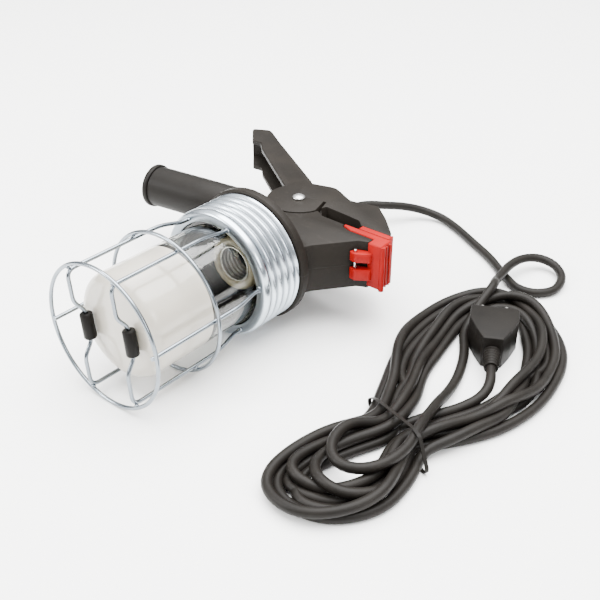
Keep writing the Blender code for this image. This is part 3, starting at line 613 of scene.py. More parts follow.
def ring_tree():
    """A row of rounded rings along +X that shrink from one end to the other."""
    tree = Growth("relief rings", ("Count", "Int", 6), ("Pitch", "Float", 0.003),
                  ("Radius", "Float", 0.006), ("End share", "Float", 0.8),
                  ("Bead", "Float", 0.0007))
    given = tree.given
    step = tree.node("ShaderNodeCombineXYZ", {}, {0: given["Pitch"]})
    line = tree.node("GeometryNodeMeshLine", {}, {
        "Count": given["Count"], "Offset": step.outputs[0]})
    ring, section = [
        tree.node("GeometryNodeCurvePrimitiveCircle", {}, {
            "Resolution": count, "Radius": given[label]}).outputs[0]
        for label, count in (("Radius", 32), ("Bead", 8))]
    sweep = tree.node("GeometryNodeCurveToMesh", {}, {"Curve": ring, "Profile Curve": section})
    turn = tree.node("GeometryNodeTransform", {}, {
        "Geometry": sweep.outputs[0], "Rotation": (0.0, math.pi / 2, 0.0)})
    index = tree.node("GeometryNodeInputIndex")
    share = tree.node("ShaderNodeMath", {"operation": "DIVIDE"}, {
        0: index.outputs[0], 1: given["Count"]})
    scale = tree.node("ShaderNodeMapRange", {}, {
        0: share.outputs[0], 3: 1.0, 4: given["End share"]})
    return tree.spread(line.outputs[0], turn.outputs[0], scale.outputs[0])


def rib_tree():
    """An upright rounded rib on every guide point."""
    tree = Growth("upright ribs", ("Length", "Float", 0.03), ("Radius", "Float", 0.0004))
    rod = tree.node("GeometryNodeMeshCylinder", {}, {
        "Vertices": 10, "Radius": tree.given["Radius"], "Depth": tree.given["Length"]})
    return tree.spread(tree.given["Geometry"], rod.outputs["Mesh"])


def relief_rings(name, start, axis, pitch, radius, end_share, bead):
    """Strain-relief rings from a start in millimetres along an axis."""
    piece = grown(name, ring_tree(), [(0.0, 0.0, 0.0)], "plug_rubber", **{
        "Count": sizes().relief_rings, "Pitch": pitch * MM, "Radius": radius * MM,
        "End share": end_share, "Bead": bead * MM})
    turn = Vector(axis).normalized().to_track_quat("X", "Z").to_matrix().to_4x4()
    piece.data.transform(Matrix.Translation(place(*start)) @ turn)
    return piece


# ------------------------------------------------------------------- lead

LEAD_RADIUS = 3.8
GUIDE_STEP = 6.0
LEAD_STEP = 4.6

# From the gland down to the floor, round a loose loop and up onto the hank.
LEAD_ROUTE = [
    (-36.4, 0.0, 21.0), (-65.0, -1.0, 21.0), (-102.0, -8.0, 22.0), (-138.0, -20.0, 23.0),
    (-166.0, -28.0, 23.0), (-187.0, -24.0, 21.5), (-203.0, -13.0, 18.5), (-220.0, -1.0, 14.5),
    (-233.0, 12.0, 9.5), (-238.0, 30.0, 5.5), (-231.0, 51.0, 4.2), (-217.0, 76.0, 4.2),
    (-200.0, 105.0, 4.2), (-181.0, 130.0, 4.2), (-170.0, 148.0, 4.2), (-172.0, 164.0, 4.2),
    (-186.0, 174.0, 4.4), (-206.0, 171.0, 5.5), (-219.0, 158.0, 7.5), (-218.0, 143.0, 10.0),
    (-204.0, 134.0, 12.4), (-185.0, 131.5, 12.8), (-164.0, 134.0, 12.8), (-147.2, 138.0, 16.0)]

# Over the hank to its waist, round a small bight and back to the waist.
TOP_RUN = [
    (-134.0, 146.0, 26.0), (-109.0, 155.0, 34.0), (-75.0, 165.0, 40.0), (-34.0, 177.0, 44.0),
    (-4.0, 183.5, 50.0), (18.0, 188.0, 56.0), (46.0, 195.0, 58.0), (74.0, 201.0, 58.0),
    (95.0, 198.0, 58.0), (109.0, 186.0, 58.0), (111.0, 170.0, 58.0), (98.0, 159.0, 58.0),
    (76.0, 158.0, 57.0)]

# The outermost and innermost turns of the hank, in step with each other.
OUTER_TURN = [
    (50.0, 160.0), (14.0, 147.0), (-26.0, 127.0), (-66.0, 117.0), (-106.0, 119.0),
    (-134.0, 134.0), (-144.0, 156.0), (-139.0, 181.0), (-119.0, 205.0), (-86.0, 224.0),
    (-42.0, 234.0), (-2.0, 230.0), (32.0, 215.0), (60.0, 199.0), (84.0, 204.0), (113.0, 210.0),
    (138.0, 199.0), (151.0, 177.0), (147.0, 149.0), (122.0, 143.0), (86.0, 151.0)]
INNER_TURN = [
    (54.0, 175.0), (18.0, 168.0), (-22.0, 151.0), (-62.0, 143.0), (-99.0, 139.0),
    (-120.0, 147.0), (-128.0, 159.0), (-124.0, 176.0), (-108.0, 192.0), (-82.0, 207.0),
    (-44.0, 211.0), (-4.0, 207.0), (26.0, 197.0), (54.0, 185.0), (80.0, 192.0), (102.0, 194.0),
    (118.0, 187.0), (124.0, 174.0), (119.0, 162.0), (104.0, 158.0), (82.0, 163.0)]

# From the waist through the hank's eye to the plug.
LAST_RUN = [
    (52.0, 168.0, 8.0), (28.0, 180.0, 9.0), (8.0, 195.0, 9.0), (-12.0, 205.5, 11.0),
    (-28.0, 203.0, 13.0), (-42.3, 195.4, 13.3), (-51.0, 190.8, 13.3)]

PLUG_START = (-60.0, 186.0)
PLUG_HEADING = math.radians(208.0)
PLUG_LENGTH = 45.0
PLUG_LEVEL = 13.3
WAIST = (53.0, 180.0)
WAIST_HEADING = math.radians(63.0)


def smooth_line(points, spacing):
    """Evenly spaced points on a smooth curve through given points."""
    points = np.array(points, float)
    padded = np.vstack([points[:1], points, points[-1:]])
    steps = np.linspace(0.0, 1.0, 24, endpoint=False)[:, None]
    fine = []
    for a, b, c, d in zip(padded, padded[1:], padded[2:], padded[3:]):
        fine.append(0.5 * (2 * b + (c - a) * steps + (2 * a - 5 * b + 4 * c - d) * steps ** 2
                           + (3 * b - a - 3 * c + d) * steps ** 3))
    fine = np.vstack(fine + [points[-1:]])
    travelled = np.concatenate([[0.0], np.cumsum(np.linalg.norm(np.diff(fine, axis=0), axis=1))])
    count = max(2, round(travelled[-1] / spacing))
    marks = np.linspace(0.0, travelled[-1], count + 1)
    return np.stack([np.interp(marks, travelled, fine[:, axis]) for axis in range(3)], axis=1)


def hank_turns(count):
    """Guide points of the hank's turns, from the top one down, each between outer and inner."""
    shares = (0.66, 0.05, 0.95, 0.30, 0.75, 0.0, 0.50)
    guide = []
    per_turn = len(OUTER_TURN)
    for turn in range(count):
        for index, (outer, inner) in enumerate(zip(OUTER_TURN, INNER_TURN)):
            progress = index / per_turn
            share = shares[turn] * (1.0 - progress) + shares[turn + 1] * progress
            share += 0.24 * math.sin(2 * math.pi * (2 * progress + 0.37 * turn))
            share = min(max(share, 0.0), 1.0)
            x = outer[0] + (inner[0] - outer[0]) * share
            y = outer[1] + (inner[1] - outer[1]) * share
            fall = (turn + progress) / count
            guide.append((x, y, 8.0 + 7.8 * (count - 1) * (1.0 - fall)))
    return guide


def beside_plug(distance, side):
    """A point on the floor plan, along the plug from its neck and to its side."""
    along = (math.cos(PLUG_HEADING), math.sin(PLUG_HEADING))
    return (PLUG_START[0] + along[0] * distance - along[1] * side,
            PLUG_START[1] + along[1] * distance + along[0] * side)


def plug_blocks():
    """Centres and radii of balls that fill the plug, for the lead to lie round."""
    blocks = []
    for distance, half, ball in ((-12.0, 0.0, 6.5), (5.0, 0.0, 10.0), (12.0, 4.0, 12.0),
                                 (21.0, 7.0, 13.0), (30.0, 9.0, 13.0), (39.0, 9.0, 13.0),
                                 (52.0, 9.5, 4.0), (61.0, 9.5, 4.0)):
        for side in (-1.0, 0.0, 1.0):
            blocks.append((*beside_plug(distance, side * half), PLUG_LEVEL, ball))
    return np.array(blocks)


# The lead's whole fall in millimetres, its rate in the last rounds, and when they start.
FALL, LAST_FALL, SETTLING = 100.0, 0.1, 0.8
# Shares of a bend's unevenness, a sideways drift and an overlap taken out in each round.
EVENING = 0.45
DRIFT = 0.02
PUSH, PLUG_PUSH = 0.6, 0.4


def settle(points, held, radius, rounds):
    """Lets the lead sink onto the floor, itself and the plug, then takes out its kinks."""
    guide = points.copy()
    spacing = float(np.median(np.linalg.norm(np.diff(points, axis=0), axis=1)))
    blocks = plug_blocks()
    order = np.arange(len(points))
    apart = np.abs(order[:, None] - order[None, :]) > 3.0 * radius / spacing + 2
    width = 2 * radius + 0.15
    hold = held[:, None]
    free = 1.0 - hold
    for step in range(rounds):
        falling = step < SETTLING * rounds
        points[:, 2] -= FALL / rounds * (1.0 - held) * (1.0 if falling else LAST_FALL)
        shift = points - guide
        for _ in range(2):
            middle = (shift[:-2] + shift[2:]) / 2
            shift[1:-1] += EVENING * free[1:-1] * (middle - shift[1:-1])
        points = guide + shift
        points[:, :2] -= (DRIFT + 0.6 * hold) * shift[:, :2]
        points[:, 2:] -= 0.8 * hold * shift[:, 2:]
        gap = points[:, None, :] - points[None, :, :]
        distance = np.sqrt((gap ** 2).sum(axis=2)) + 1e-6
        near = apart & (distance < width)
        push = np.where(near, (width - distance) / distance, 0.0)
        total = (gap * push[:, :, None]).sum(axis=1)
        crowd = np.maximum(near.sum(axis=1), 1)[:, None]
        points += PUSH * (1 - 0.9 * hold) * total / np.sqrt(crowd)
        reach = points[:, None, :] - blocks[None, :, :3]
        away = np.sqrt((reach ** 2).sum(axis=2)) + 1e-6
        depth = np.maximum(blocks[None, :, 3] + radius - away, 0.0) / away
        points += free * (reach * depth[:, :, None]).sum(axis=1) * PLUG_PUSH
        points[:, 2] = np.maximum(points[:, 2], radius + 0.25)
    for factor in (0.5, -0.46) * 8:
        middle = (points[:-2] + points[2:]) / 2
        points[1:-1] += factor * free[1:-1] * (middle - points[1:-1])
    points[:, 2] = np.maximum(points[:, 2], radius + 0.25)
    return points


def lead_path():
    """The whole lead from the gland to the plug, settled, in millimetres."""
    route = smooth_line(LEAD_ROUTE, GUIDE_STEP)
    guide = [tuple(route[-1])] + TOP_RUN + hank_turns(sizes().turns) + LAST_RUN
    rest = smooth_line(guide, GUIDE_STEP)
    points = np.vstack([route, rest[1:]])
    held = np.zeros(len(points))
    held[:len(route) - 1] = 1.0
    held[len(route) - 4:len(route) + 4] = np.linspace(1.0, 0.0, 8)
    held[-6:] = np.linspace(0.2, 1.0, 6)
    points = settle(points, held, LEAD_RADIUS, 260)
    return smooth_line(points, LEAD_STEP)


def rim_of(marks):
    """The convex outline of flat points, going round once."""
    ordered = sorted(set((round(x, 3), round(y, 3)) for x, y in marks))

    def half(points):
        kept = []
        for x, y in points:
            while len(kept) > 1:
                (x1, y1), (x2, y2) = kept[-2:]
                if (x2 - x1) * (y - y1) - (y2 - y1) * (x - x1) > 0:
                    break
                kept.pop()
            kept.append((x, y))
        return kept[:-1]

    return half(ordered) + half(ordered[::-1])


# --------------------------------------------------------------- sections

def jar_profile():
    """The jar's outside and inside, from its rim to its crown."""
    radius, end, wall, crown = 40.3, JAR_END, 3.0, 1.5
    inner = radius - wall
    shoulder = 10.0
    rim = 34.6
    outside = []
    inside = []
    for step in range(15):
        angle = math.pi / 2 * step / 14
        outside.append((end - shoulder + shoulder * math.sin(angle),
                        radius - shoulder + shoulder * math.cos(angle)))
        inside.append((end - shoulder + (shoulder - wall) * math.sin(angle),
                       radius - shoulder + (shoulder - wall) * math.cos(angle)))
    top = [(end + crown * (1 - (r / 30.3) ** 2), r) for r in (26.0, 21.0, 16.0, 11.0, 6.0, 2.0)]
    under = [(end - wall + 0.8 * (1 - (r / 30.3) ** 2), r) for r in (2.0, 8.0, 15.0, 22.0)]
    wall_run = [(rim + 3.4 + step * (end - shoulder - rim - 3.4) / 10, radius)
                for step in range(1, 10)]
    inner_run = [(end - shoulder - step * (end - shoulder - rim) / 10, inner)
                 for step in range(1, 10)]
    return ([(rim, inner), (rim, 45.0), (rim + 0.4, 45.4), (rim + 2.6, 45.4), (rim + 3.0, 45.0),
             (rim + 3.4, radius)] + wall_run + outside + top + [(end + crown, 0.0)]
            + [(end - wall + 0.8, 0.0)] + under + list(reversed(inside)) + inner_run)


def threaded(name, rows, pitch, sides, finish_name):
    """A closed form round the axis; its rows are (x, radius, depth of the helical wave)."""
    points = []
    for x, radius, wave in rows:
        for index in range(sides):
            angle = 2 * math.pi * index / sides
            reach = radius + wave * math.cos(2 * math.pi * x / pitch - angle)
            points.append(place(*around_axis(x, reach, angle)))
    rings = [list(range(start, start + sides)) for start in range(0, len(points), sides)]
    return add_piece(name, mesh_from(name, points, lattice(rings), 60.0), finish_name)


def rolled_collar():
    """The sheet collar: one helical wave in both of its walls."""
    pitch, depth = 7.0, 1.4
    inner = NECK_RADIUS + THREAD_GAP
    outer = inner + 1.0
    threads = [3.4 + step * pitch / 12 for step in range(49)]
    rows = [(0.8, outer + depth - 0.1, 0.0), (1.2, outer + depth + 0.1, 0.0),
            (2.0, outer + depth, 0.0)]
    rows += [(x, outer, depth) for x in threads]
    rows += [(33.0, outer + depth, 0.0), (35.5, outer + depth + 0.1, 0.0),
             (37.5, outer + depth - 0.4, 0.0), (38.8, outer + 0.2, 0.0), (39.5, outer - 1.5, 0.0),
             (39.5, 43.0, 0.0), (39.2, 42.5, 0.0), (38.7, 42.5, 0.0), (38.5, 43.0, 0.0),
             (38.5, outer - 2.5, 0.0), (37.0, inner + depth - 0.5, 0.0),
             (33.0, inner + depth, 0.0)]
    rows += [(x, inner, depth) for x in reversed(threads)]
    rows += [(2.0, inner + depth, 0.0), (0.8, inner + depth, 0.0)]
    return threaded("rolled_collar", rows, pitch, 120, "collar_zinc")


def screw_shell():
    """The lampholder's thread shell with its rolled knuckle thread."""
    pitch = 3.62
    rows = [(0.5, 12.8, 0.0), (0.5, 14.4, 0.0), (19.2, 14.4, 0.0), (19.2, 13.5, 0.0)]
    rows += [(18.6 - step * pitch / 8, 13.5, 0.36) for step in range(38)]
    rows += [(1.3, 13.5, 0.0), (1.3, 12.8, 0.0)]
    return threaded("socket_shell", rows, pitch, 64, "shell_nickel")


def rail(angle):
    """Corners of one rail from its weld on the collar to the front hoop."""
    return [(*around_axis(40.1, 46.3, angle), 0.0), (*around_axis(46.3, 46.3, angle), 6.0),
            (*around_axis(66.0, RAIL, angle), 8.0)]


def rail_angles(side):
    """Angles of the upper and lower rail that one bent wire joins."""
    return (math.pi / 2 - side * RAIL_RISE + CAGE_ROLL,
            -math.pi / 2 + side * RAIL_RISE + CAGE_ROLL)


def u_wire_path(side):
    """A bent wire, with its dent towards the jar, and the dent's middle and direction."""
    top, bottom = rail_angles(side)
    front = FRONT_X + 2.0
    upper = Vector(around_axis(front, RAIL, top))
    lower = Vector(around_axis(front, RAIL, bottom))
    dent = Vector((JAR_END + 1.5 + 4.7 - front, 0.0, 0.0))
    corners = rail(top) + [(*upper, 7.0)]
    for share, depth in ((0.26, 0.0), (0.37, 1.0), (0.63, 1.0), (0.74, 0.0)):
        corners.append((*(upper.lerp(lower, share) + dent * depth), 4.0))
    corners.append((*lower, 7.0))
    corners += reversed(rail(bottom))
    return bent_path(corners), upper.lerp(lower, 0.5) + dent, (lower - upper).normalized()


# ----------------------------------------------------- sizes and colours

class LampSizes(bpy.types.PropertyGroup):
    """Sizes and counts that a user may change"""
    lead_diameter: bpy.props.FloatProperty(
        name="Lead diameter", description="Outer diameter of the mains lead", default=0.0076,
        min=0.004, max=0.012, unit="LENGTH")
    turns: bpy.props.IntProperty(
        name="Hank turns", description="Full turns of lead in the hank", default=6, min=3, max=6)
    nugget: bpy.props.FloatProperty(
        name="Weld nugget", description="Radius of the weld nuggets on the cage",
        default=0.0017, min=0.0005, max=0.003, unit="LENGTH")
    edge: bpy.props.FloatProperty(
        name="Edge rounding", description="Rounding of the mouldings' hard edges",
        default=0.0006, min=0.0001, max=0.002, unit="LENGTH")
    relief_rings: bpy.props.IntProperty(
        name="Relief rings", description="Rings on each strain relief", default=6, min=2, max=12)


def colour_choice(name, description, red, green, blue):
    """A colour that a user may change."""
    return bpy.props.FloatVectorProperty(
        name=name, description=description, subtype="COLOR", size=3,
        default=(red, green, blue), min=0.0, max=1.0)


class LampColours(bpy.types.PropertyGroup):
    """Colours of the lamp's materials and the floor"""
    housing: colour_choice("Housing", "Moulded housing and lever", 0.0085, 0.0068, 0.0052)
    grip: colour_choice("Grip", "Handle sleeve and cap", 0.0060, 0.0050, 0.0040)
    pads: colour_choice("Jaw pads", "Clip-on jaw pads", 0.24, 0.0030, 0.0028)
    zinc: colour_choice("Zinc", "Plating on the cage", 0.50, 0.56, 0.62)
    lead: colour_choice("Lead", "Rubber sheath, plug and sleeves", 0.0062, 0.0052, 0.0042)
    ceramic: colour_choice("Ceramic", "Lampholder ring", 0.50, 0.43, 0.28)
    jar: colour_choice("Jar", "Frosted part of the glass jar", 0.50, 0.465, 0.395)
    floor: colour_choice("Floor", "Studio floor", 0.90, 0.90, 0.89)


# -------------------------------------------------------------- operators

class HANDLAMP_OT_stage(bpy.types.Operator):
    """Camera, floor and soft studio light"""
    bl_idname = "handlamp.stage"
    bl_label = "Stage"

    def execute(self, context):
        lens = bpy.data.cameras.new("studio_camera")
        lens.lens = 56.94
        lens.sensor_width = 36.0
        lens.clip_start = 0.01
        camera = bpy.data.objects.new("studio_camera", lens)
        camera.location = place(475.8, 444.2, 418.0)
        aim = place(-6.0, 46.0, 30.0) - camera.location
        camera.rotation_euler = aim.to_track_quat("-Z", "Y").to_euler()
        context.scene.collection.objects.link(camera)
        context.scene.camera = camera
        half = 4.0
        corners = [(-half, -half, 0.0), (half, -half, 0.0), (half, half, 0.0), (-half, half, 0.0)]
        mesh = bpy.data.meshes.new("studio_floor")
        mesh.from_pydata(corners, [], [[0, 1, 2, 3]])
        floor = add_piece("studio_floor", mesh, "floor")
        self.light(context, "overhead", (-0.2, 0.1, 2.0), (0.0, 0.1, 0.0), 2.4, 270.0)
        self.light(context, "left_window", (1.5, -1.2, 1.1), (0.0, 0.05, 0.05), 0.8, 60.0)
        self.light(context, "right_card", (0.3, 1.9, 1.0), (0.0, 0.1, 0.05), 0.7, 18.0)
        context.scene.world = self.sky()
        return {"FINISHED"}

    def sky(self):
        """White overhead and grey towards the horizon."""
        world = bpy.data.worlds.new("studio")
        world.use_nodes = True
        graph = Graph(world.node_tree)
        where = graph.node("ShaderNodeTexCoord").outputs["Generated"]
        split = graph.node("ShaderNodeSeparateXYZ", {}, {0: where})
        ramp = graph.node("ShaderNodeMapRange", {"interpolation_type": "SMOOTHSTEP"}, {
            0: split.outputs[2], 1: 0.0, 2: 0.8, 3: 0.10, 4: 2.6})
        background = graph.tree.nodes["Background"]
        graph.feed(background.inputs["Strength"], ramp.outputs[0])
        graph.feed(background.inputs["Color"], (1.0, 1.0, 1.0, 1.0))
        return world

    def light(self, context, name, where, target, size, power):
        lamp = bpy.data.lights.new(name, "AREA")
        lamp.size = size
        lamp.energy = power
        source = bpy.data.objects.new(name, lamp)
        source.location = where
        aim = Vector(target) - Vector(where)
        source.rotation_euler = aim.to_track_quat("-Z", "Y").to_euler()
        context.scene.collection.objects.link(source)


class HANDLAMP_OT_housing(bpy.types.Operator):
    """Moulded housing with its neck, jaw and knuckle"""
    bl_idname = "handlamp.housing"
    bl_label = "Housing"

    def execute(self, context):
        softened("housing", "housing_black", "lamp", "black_moulding", "lamp_body")
        return {"FINISHED"}


class HANDLAMP_OT_handle(bpy.types.Operator):
    """Round grip and its lipped cap"""
    bl_idname = "handlamp.handle"
    bl_label = "Handle"

    def execute(self, context):
        along = Vector(HANDLE_END) - Vector(HANDLE_ROOT)
        length = along.length
        along.normalize()
        outer, inner = 17.6, 14.6
        grip = [(4.4, inner), (4.4, outer - 1.4), (6.0, outer - 0.3), (length * 0.5, outer),
                (length - 6.9, outer), (length - 6.5, outer - 0.4), (length - 6.5, inner)]
        cap = [(length - 14.0, 0.0), (length - 14.0, inner - 0.8), (length - 6.2, inner - 0.3),
               (length - 6.2, outer + 0.9), (length - 5.0, outer + 1.5),
               (length - 2.0, outer + 1.4), (length - 0.6, outer - 0.4), (length, outer - 3.0),
               (length - 1.0, outer - 5.0), (length - 1.0, 6.0), (length - 0.6, 4.0),
               (length - 0.6, 0.0)]
        for name, profile, node in (("grip_sleeve", grip, "handle_grip"),
                                    ("grip_cap", rounded(cap, 0.7), "handle_cap")):
            lathed(name, profile, "grip_black", "lamp", "grip_rubber", node,
                   80, HANDLE_ROOT, along)
        return {"FINISHED"}


class HANDLAMP_OT_clamp(bpy.types.Operator):
    """Sprung lever, pivot pin, spring and red jaw pads"""
    bl_idname = "handlamp.clamp"
    bl_label = "Clamp"

    def execute(self, context):
        softened("lever", "housing_black", "lever", "black_moulding", "clamp_lever")
        softened("near_pad", "jaw_red", "lamp", "red_plastic", "near_jaw_pad")
        for name, spots, length, radius in (
                ("pad_ribs", ((-49.6, 94.7, 58.0), (-53.8, 94.7, 58.0)), 0.035, 0.0009),
                ("pad_corner_rib", ((-46.0, 93.6, 57.0),), 0.038, 0.0022)):
            ribs = grown(name, rib_tree(), [place(*spot) for spot in spots], "jaw_red",
                         Length=length, Radius=radius)
            stands_for(ribs, "lamp", "red_plastic")
        softened("far_pad", "jaw_red", "lever", "red_plastic", "far_jaw_pad")
        top = 20.5 + 1.2
        pin = [(-top - 1.6, 0.0), (-top - 1.6, 3.0), (-top, 5.0), (-top + 0.6, 5.0),
               (-top + 0.6, 3.0), (top - 0.9, 3.0), (top - 0.9, 5.2), (top - 0.2, 5.2),
               (top + 0.6, 4.6), (top + 1.2, 3.4), (top + 1.6, 1.7), (top + 1.7, 0.0)]
        lathed("pivot_rivet", pin, "bright_steel", "lamp", "pin_steel", "pivot_pin",
               48, (*PIVOT, AXIS_Z), UPRIGHT)
        rod = [(44.0, 0.0), (44.0, 0.9), (44.3, 1.2), (70.7, 1.2), (71.0, 0.9), (71.0, 0.0)]
        lathed("pad_rod", rod, "bright_steel", "lamp", "pin_steel", "near_pad_pin",
               32, PAD_PIN, UPRIGHT)
        coil = []
        turns, steps, reach, height = 3, 40, 6.2, 9.2
        for index in range(turns * steps + 1):
            angle = 2 * math.pi * index / steps
            coil.append((PIVOT[0] + reach * math.cos(angle), PIVOT[1] + reach * math.sin(angle),
                         AXIS_Z - height / 2 + height * index / (turns * steps)))
        spring = bar("clamp_spring", coil, 0.9, "spring_steel")
        stands_for(spring, "lamp", "spring_steel", "torsion_spring")
        return {"FINISHED"}


class HANDLAMP_OT_cage(bpy.types.Operator):
    """Rolled collar, hoops, rails, sleeves and weld nuggets"""
    bl_idname = "handlamp.cage"
    bl_label = "Cage"

    def execute(self, context):
        stands_for(rolled_collar(), "cage", "zinc_sheet", "cage_collar")
        for name, node, x in (("hoop_front", "front_hoop", FRONT_X),
                              ("hoop_middle", "middle_hoop", MIDDLE_X)):
            path = [around_axis(x, HOOP, 2 * math.pi * index / 120) for index in range(120)]
            hoop = bar(name, path, WIRE, "wire_zinc", cyclic=True)
            stands_for(hoop, "cage", "zinc_wire", node)
        for name, side in (("left", -1.0), ("right", 1.0)):
            path, middle, along = u_wire_path(side)
            wire = bar("rail_pair_" + name, path, WIRE, "wire_zinc")
            stands_for(wire, "cage", "zinc_wire", "u_wire_" + name)
            lathed("sleeve_" + name, [
                (-10.0, 1.8), (-10.0, 3.7), (-9.7, 4.3), (-9.0, 4.7), (9.0, 4.7), (9.7, 4.3),
                (10.0, 3.7), (10.0, 1.8)], "sleeve_rubber", "cage", "black_rubber",
                "wire_sleeve_" + name, 40, middle, along)
        for name, angle in (("left", math.pi), ("right", 0.0)):
            corners = rail(angle + CAGE_ROLL)
            corners.append((*around_axis(FRONT_X + 1.5, RAIL, angle + CAGE_ROLL), 0.0))
            wire = bar("rail_" + name, bent_path(corners), WIRE, "wire_zinc")
            stands_for(wire, "cage", "zinc_wire", "side_wire_" + name)
        self.nuggets()
        return {"FINISHED"}

    def nuggets(self):
        """Welds where each rail meets the hoops and the collar."""
        points = []
        for angle in (math.pi + CAGE_ROLL, CAGE_ROLL, *rail_angles(-1.0), *rail_angles(1.0)):
            for x, radius, turn in ((MIDDLE_X, 52.85, 0.0), (FRONT_X, 52.85, 0.0),
                                    (39.9, 46.0, -0.02), (39.9, 46.0, 0.02)):
                points.append(place(*around_axis(x, radius, angle + turn)))
        welds = grown("weld_nuggets", nugget_tree(), points, "wire_zinc",
                      Radius=sizes().nugget, Seed=3)
        stands_for(welds, "cage", "zinc_wire")


class HANDLAMP_OT_jar(bpy.types.Operator):
    """Glass jar and its gasket"""
    bl_idname = "handlamp.jar"
    bl_label = "Jar"

    def execute(self, context):
        lathed("jar", jar_profile(), "jar_glass", "jar", "jar_glass", "glass_jar", 96, angle=50.0)
        seal = [(33.3, 38.5), (33.3, 44.9), (33.6, 45.2), (34.0, 45.2), (34.3, 44.9), (34.3, 38.5)]
        lathed("seal", seal, "sleeve_rubber", "jar", "black_rubber", "jar_gasket", 96)
        return {"FINISHED"}


class HANDLAMP_OT_holder(bpy.types.Operator):
    """Lampholder: body, ceramic ring, thread shell, contact and screws"""
    bl_idname = "handlamp.holder"
    bl_label = "Lampholder"

    def execute(self, context):
        softened("socket_body", "holder_black", "lamp", "holder_black", "holder_body", 0.0003)
        lathed("socket_ring", rounded([
            (4.3, 14.9), (4.3, 22.0), (18.4, 22.0), (20.3, 21.0), (20.5, 19.0), (20.3, 16.2),
            (19.0, 14.9), (4.3, 14.9)], 0.8), "ring_ceramic", "lamp", "cream_ceramic",
            "holder_ring", 96, angle=50.0)
        stands_for(screw_shell(), "lamp", "plated_brass", "thread_shell")
        lathed("contact_seat", [
            (-6.7, 0.0), (-6.7, 9.6), (0.0, 9.6), (0.2, 9.3), (0.2, 4.3), (-0.8, 4.3),
            (-0.8, 0.0)], "ring_ceramic", "lamp", "cream_ceramic", "contact_base", 64)
        lathed("contact_tip", rounded([
            (-0.5, 0.0), (-0.5, 3.9), (0.9, 3.9), (2.4, 2.4), (2.4, 0.0)], 0.5),
            "contact_copper", "lamp", "copper", "centre_contact", 48)
        for node in ("holder_screw_1", "holder_screw_2", "clamp_screw_1", "clamp_screw_2",
                     "cord_clamp_bar"):
            repaint(node, "screw_steel")
        return {"FINISHED"}


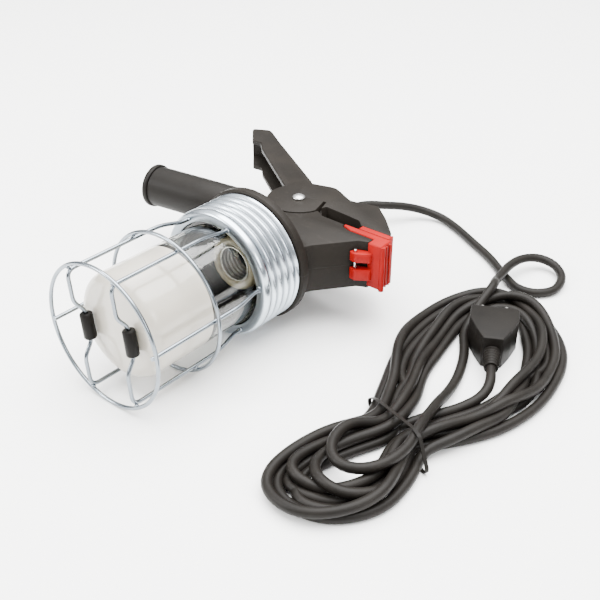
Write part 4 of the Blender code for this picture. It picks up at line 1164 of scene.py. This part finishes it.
class HANDLAMP_OT_lead(bpy.types.Operator):
    """Mains lead from the gland through the tied hank to its plug"""
    bl_idname = "handlamp.lead"
    bl_label = "Lead"

    def execute(self, context):
        path = lead_path()
        curve = bar_curve("lead", [place(*point) for point in path],
                          sizes().lead_diameter / 2, False, 3)
        lead = bpy.data.objects.new("lead", curve)
        context.scene.collection.objects.link(lead)
        curve.materials.append(finish("lead_rubber"))
        stands_for(lead, "lamp", "cord_rubber", "power_cord", "cord_hank")
        pieces = [self.tie(path), *self.gland(), *self.plug()]
        place(-36.0, 0.0, 21.0)
        return {"FINISHED"}

    def tie(self, path):
        """A cable tie drawn round the strands at the hank's waist."""
        across = np.array([math.cos(WAIST_HEADING), math.sin(WAIST_HEADING)])
        along = np.array([-across[1], across[0]])
        offset = path[:, :2] - np.array(WAIST)
        close = (np.abs(offset @ along) < 6.0) & (np.abs(offset @ across) < 42.0)
        marks = []
        skin = LEAD_RADIUS + 0.7
        for side, level in zip((offset @ across)[close], path[close][:, 2]):
            for step in range(24):
                turn = 2 * math.pi * step / 24
                marks.append((side + skin * math.cos(turn),
                              max(level + skin * math.sin(turn), 0.9)))
        band = []
        half, thick = 1.3, 0.8
        heart = Vector((0.0, 10.0))
        for mark in rim_of(marks):
            middle = Vector(mark)
            out = (middle - heart).normalized()
            for shift, rise in ((-half, 0.0), (-half, thick), (half, thick), (half, 0.0)):
                point = middle + out * rise
                x = WAIST[0] + across[0] * point.x + along[0] * shift
                y = WAIST[1] + across[1] * point.x + along[1] * shift
                band.append(place(x, y, max(point.y, 0.4)))
        rings = [list(range(start, start + 4)) for start in range(0, len(band), 4)]
        tie = add_piece("hank_band", mesh_from("hank_band", band, lattice(rings)), "plug_rubber")
        return stands_for(tie, "lamp", "cord_rubber", "hank_tie")

    def gland(self):
        """Tapered gland on the housing's back."""
        gland = lathed("lead_gland", rounded([
            (-36.0, 4.1), (-36.0, 5.2), (-30.0, 5.6), (-12.6, 7.2), (-12.6, 8.6), (-9.3, 8.6),
            (-9.3, 6.0), (-5.1, 6.0), (-5.1, 4.1), (-36.0, 4.1)], 0.4), "plug_rubber", "lamp",
            "black_rubber", "cord_gland", 48, (0.0, 0.0, GLAND_LEVEL))
        rings = relief_rings("gland_rings", (-15.5, 0.0, GLAND_LEVEL), (-1.0, 0.0, 0.0),
                             3.2, 6.9, 0.77, 0.55)
        stands_for(rings, "lamp", "black_rubber")
        return [gland, rings]

    def plug(self):
        """Moulded plug with its ribbed relief and pins."""
        heading = (math.cos(PLUG_HEADING), math.sin(PLUG_HEADING), 0.0)
        start = (*PLUG_START, PLUG_LEVEL)
        body = softened("plug_moulding", "plug_rubber", "lamp", "plug_rubber", "plug_body",
                        0.0028, 5)
        relief = lathed("plug_neck", rounded([
            (-20.0, 4.1), (-20.0, 5.2), (-0.3, 6.6), (-0.3, 4.1), (-20.0, 4.1)], 0.3),
            "plug_rubber", "lamp", "plug_rubber", "plug_relief", 48, start, heading)
        rings = relief_rings("plug_neck_rings", (*beside_plug(-2.0, 0.0), PLUG_LEVEL),
                             (-heading[0], -heading[1], 0.0), 3.0, 6.4, 0.80, 0.5)
        stands_for(rings, "lamp", "plug_rubber")
        pins = []
        for index, side in enumerate((-9.5, 9.5), start=1):
            foot = (*beside_plug(PLUG_LENGTH + 0.3, side), PLUG_LEVEL)
            pins.append(lathed(f"contact_pin_{index}", rounded([
                (0.0, 0.0), (0.0, 2.0), (10.0, 2.0), (10.0, 2.4), (18.0, 2.4), (19.0, 1.4),
                (19.0, 0.0)], 0.35), "shell_nickel", "lamp", "plated_brass",
                f"plug_pin_{index}", 40, foot, heading))
        return [body, relief, rings, *pins]


class HANDLAMP_PT_panel(bpy.types.Panel):
    """Lists the lamp's pieces"""
    bl_idname = "HANDLAMP_PT_panel"
    bl_label = "Hand Lamp"
    bl_space_type = "VIEW_3D"
    bl_region_type = "UI"
    bl_category = "Hand Lamp"

    def draw(self, context):
        column = self.layout.column()
        for group in (context.scene.lamp_sizes, context.scene.lamp_colours):
            for key in group.__annotations__:
                column.prop(group, key)
        for operator in OPERATORS:
            column.operator(operator.bl_idname)


OPERATORS = (HANDLAMP_OT_stage, HANDLAMP_OT_lead, HANDLAMP_OT_housing, HANDLAMP_OT_handle,
             HANDLAMP_OT_clamp, HANDLAMP_OT_cage, HANDLAMP_OT_jar, HANDLAMP_OT_holder)
CLASSES = (LampSizes, LampColours, *OPERATORS, HANDLAMP_PT_panel)


def register():
    for item in CLASSES:
        bpy.utils.register_class(item)
    bpy.types.Scene.lamp_sizes = bpy.props.PointerProperty(type=LampSizes)
    bpy.types.Scene.lamp_colours = bpy.props.PointerProperty(type=LampColours)


def unregister():
    del bpy.types.Scene.lamp_colours
    del bpy.types.Scene.lamp_sizes
    for item in reversed(CLASSES):
        bpy.utils.unregister_class(item)


def main():
    register()
    for operator in OPERATORS:
        group, action = operator.bl_idname.split(".")
        getattr(getattr(bpy.ops, group), action)()


if __name__ == "__main__":
    main()
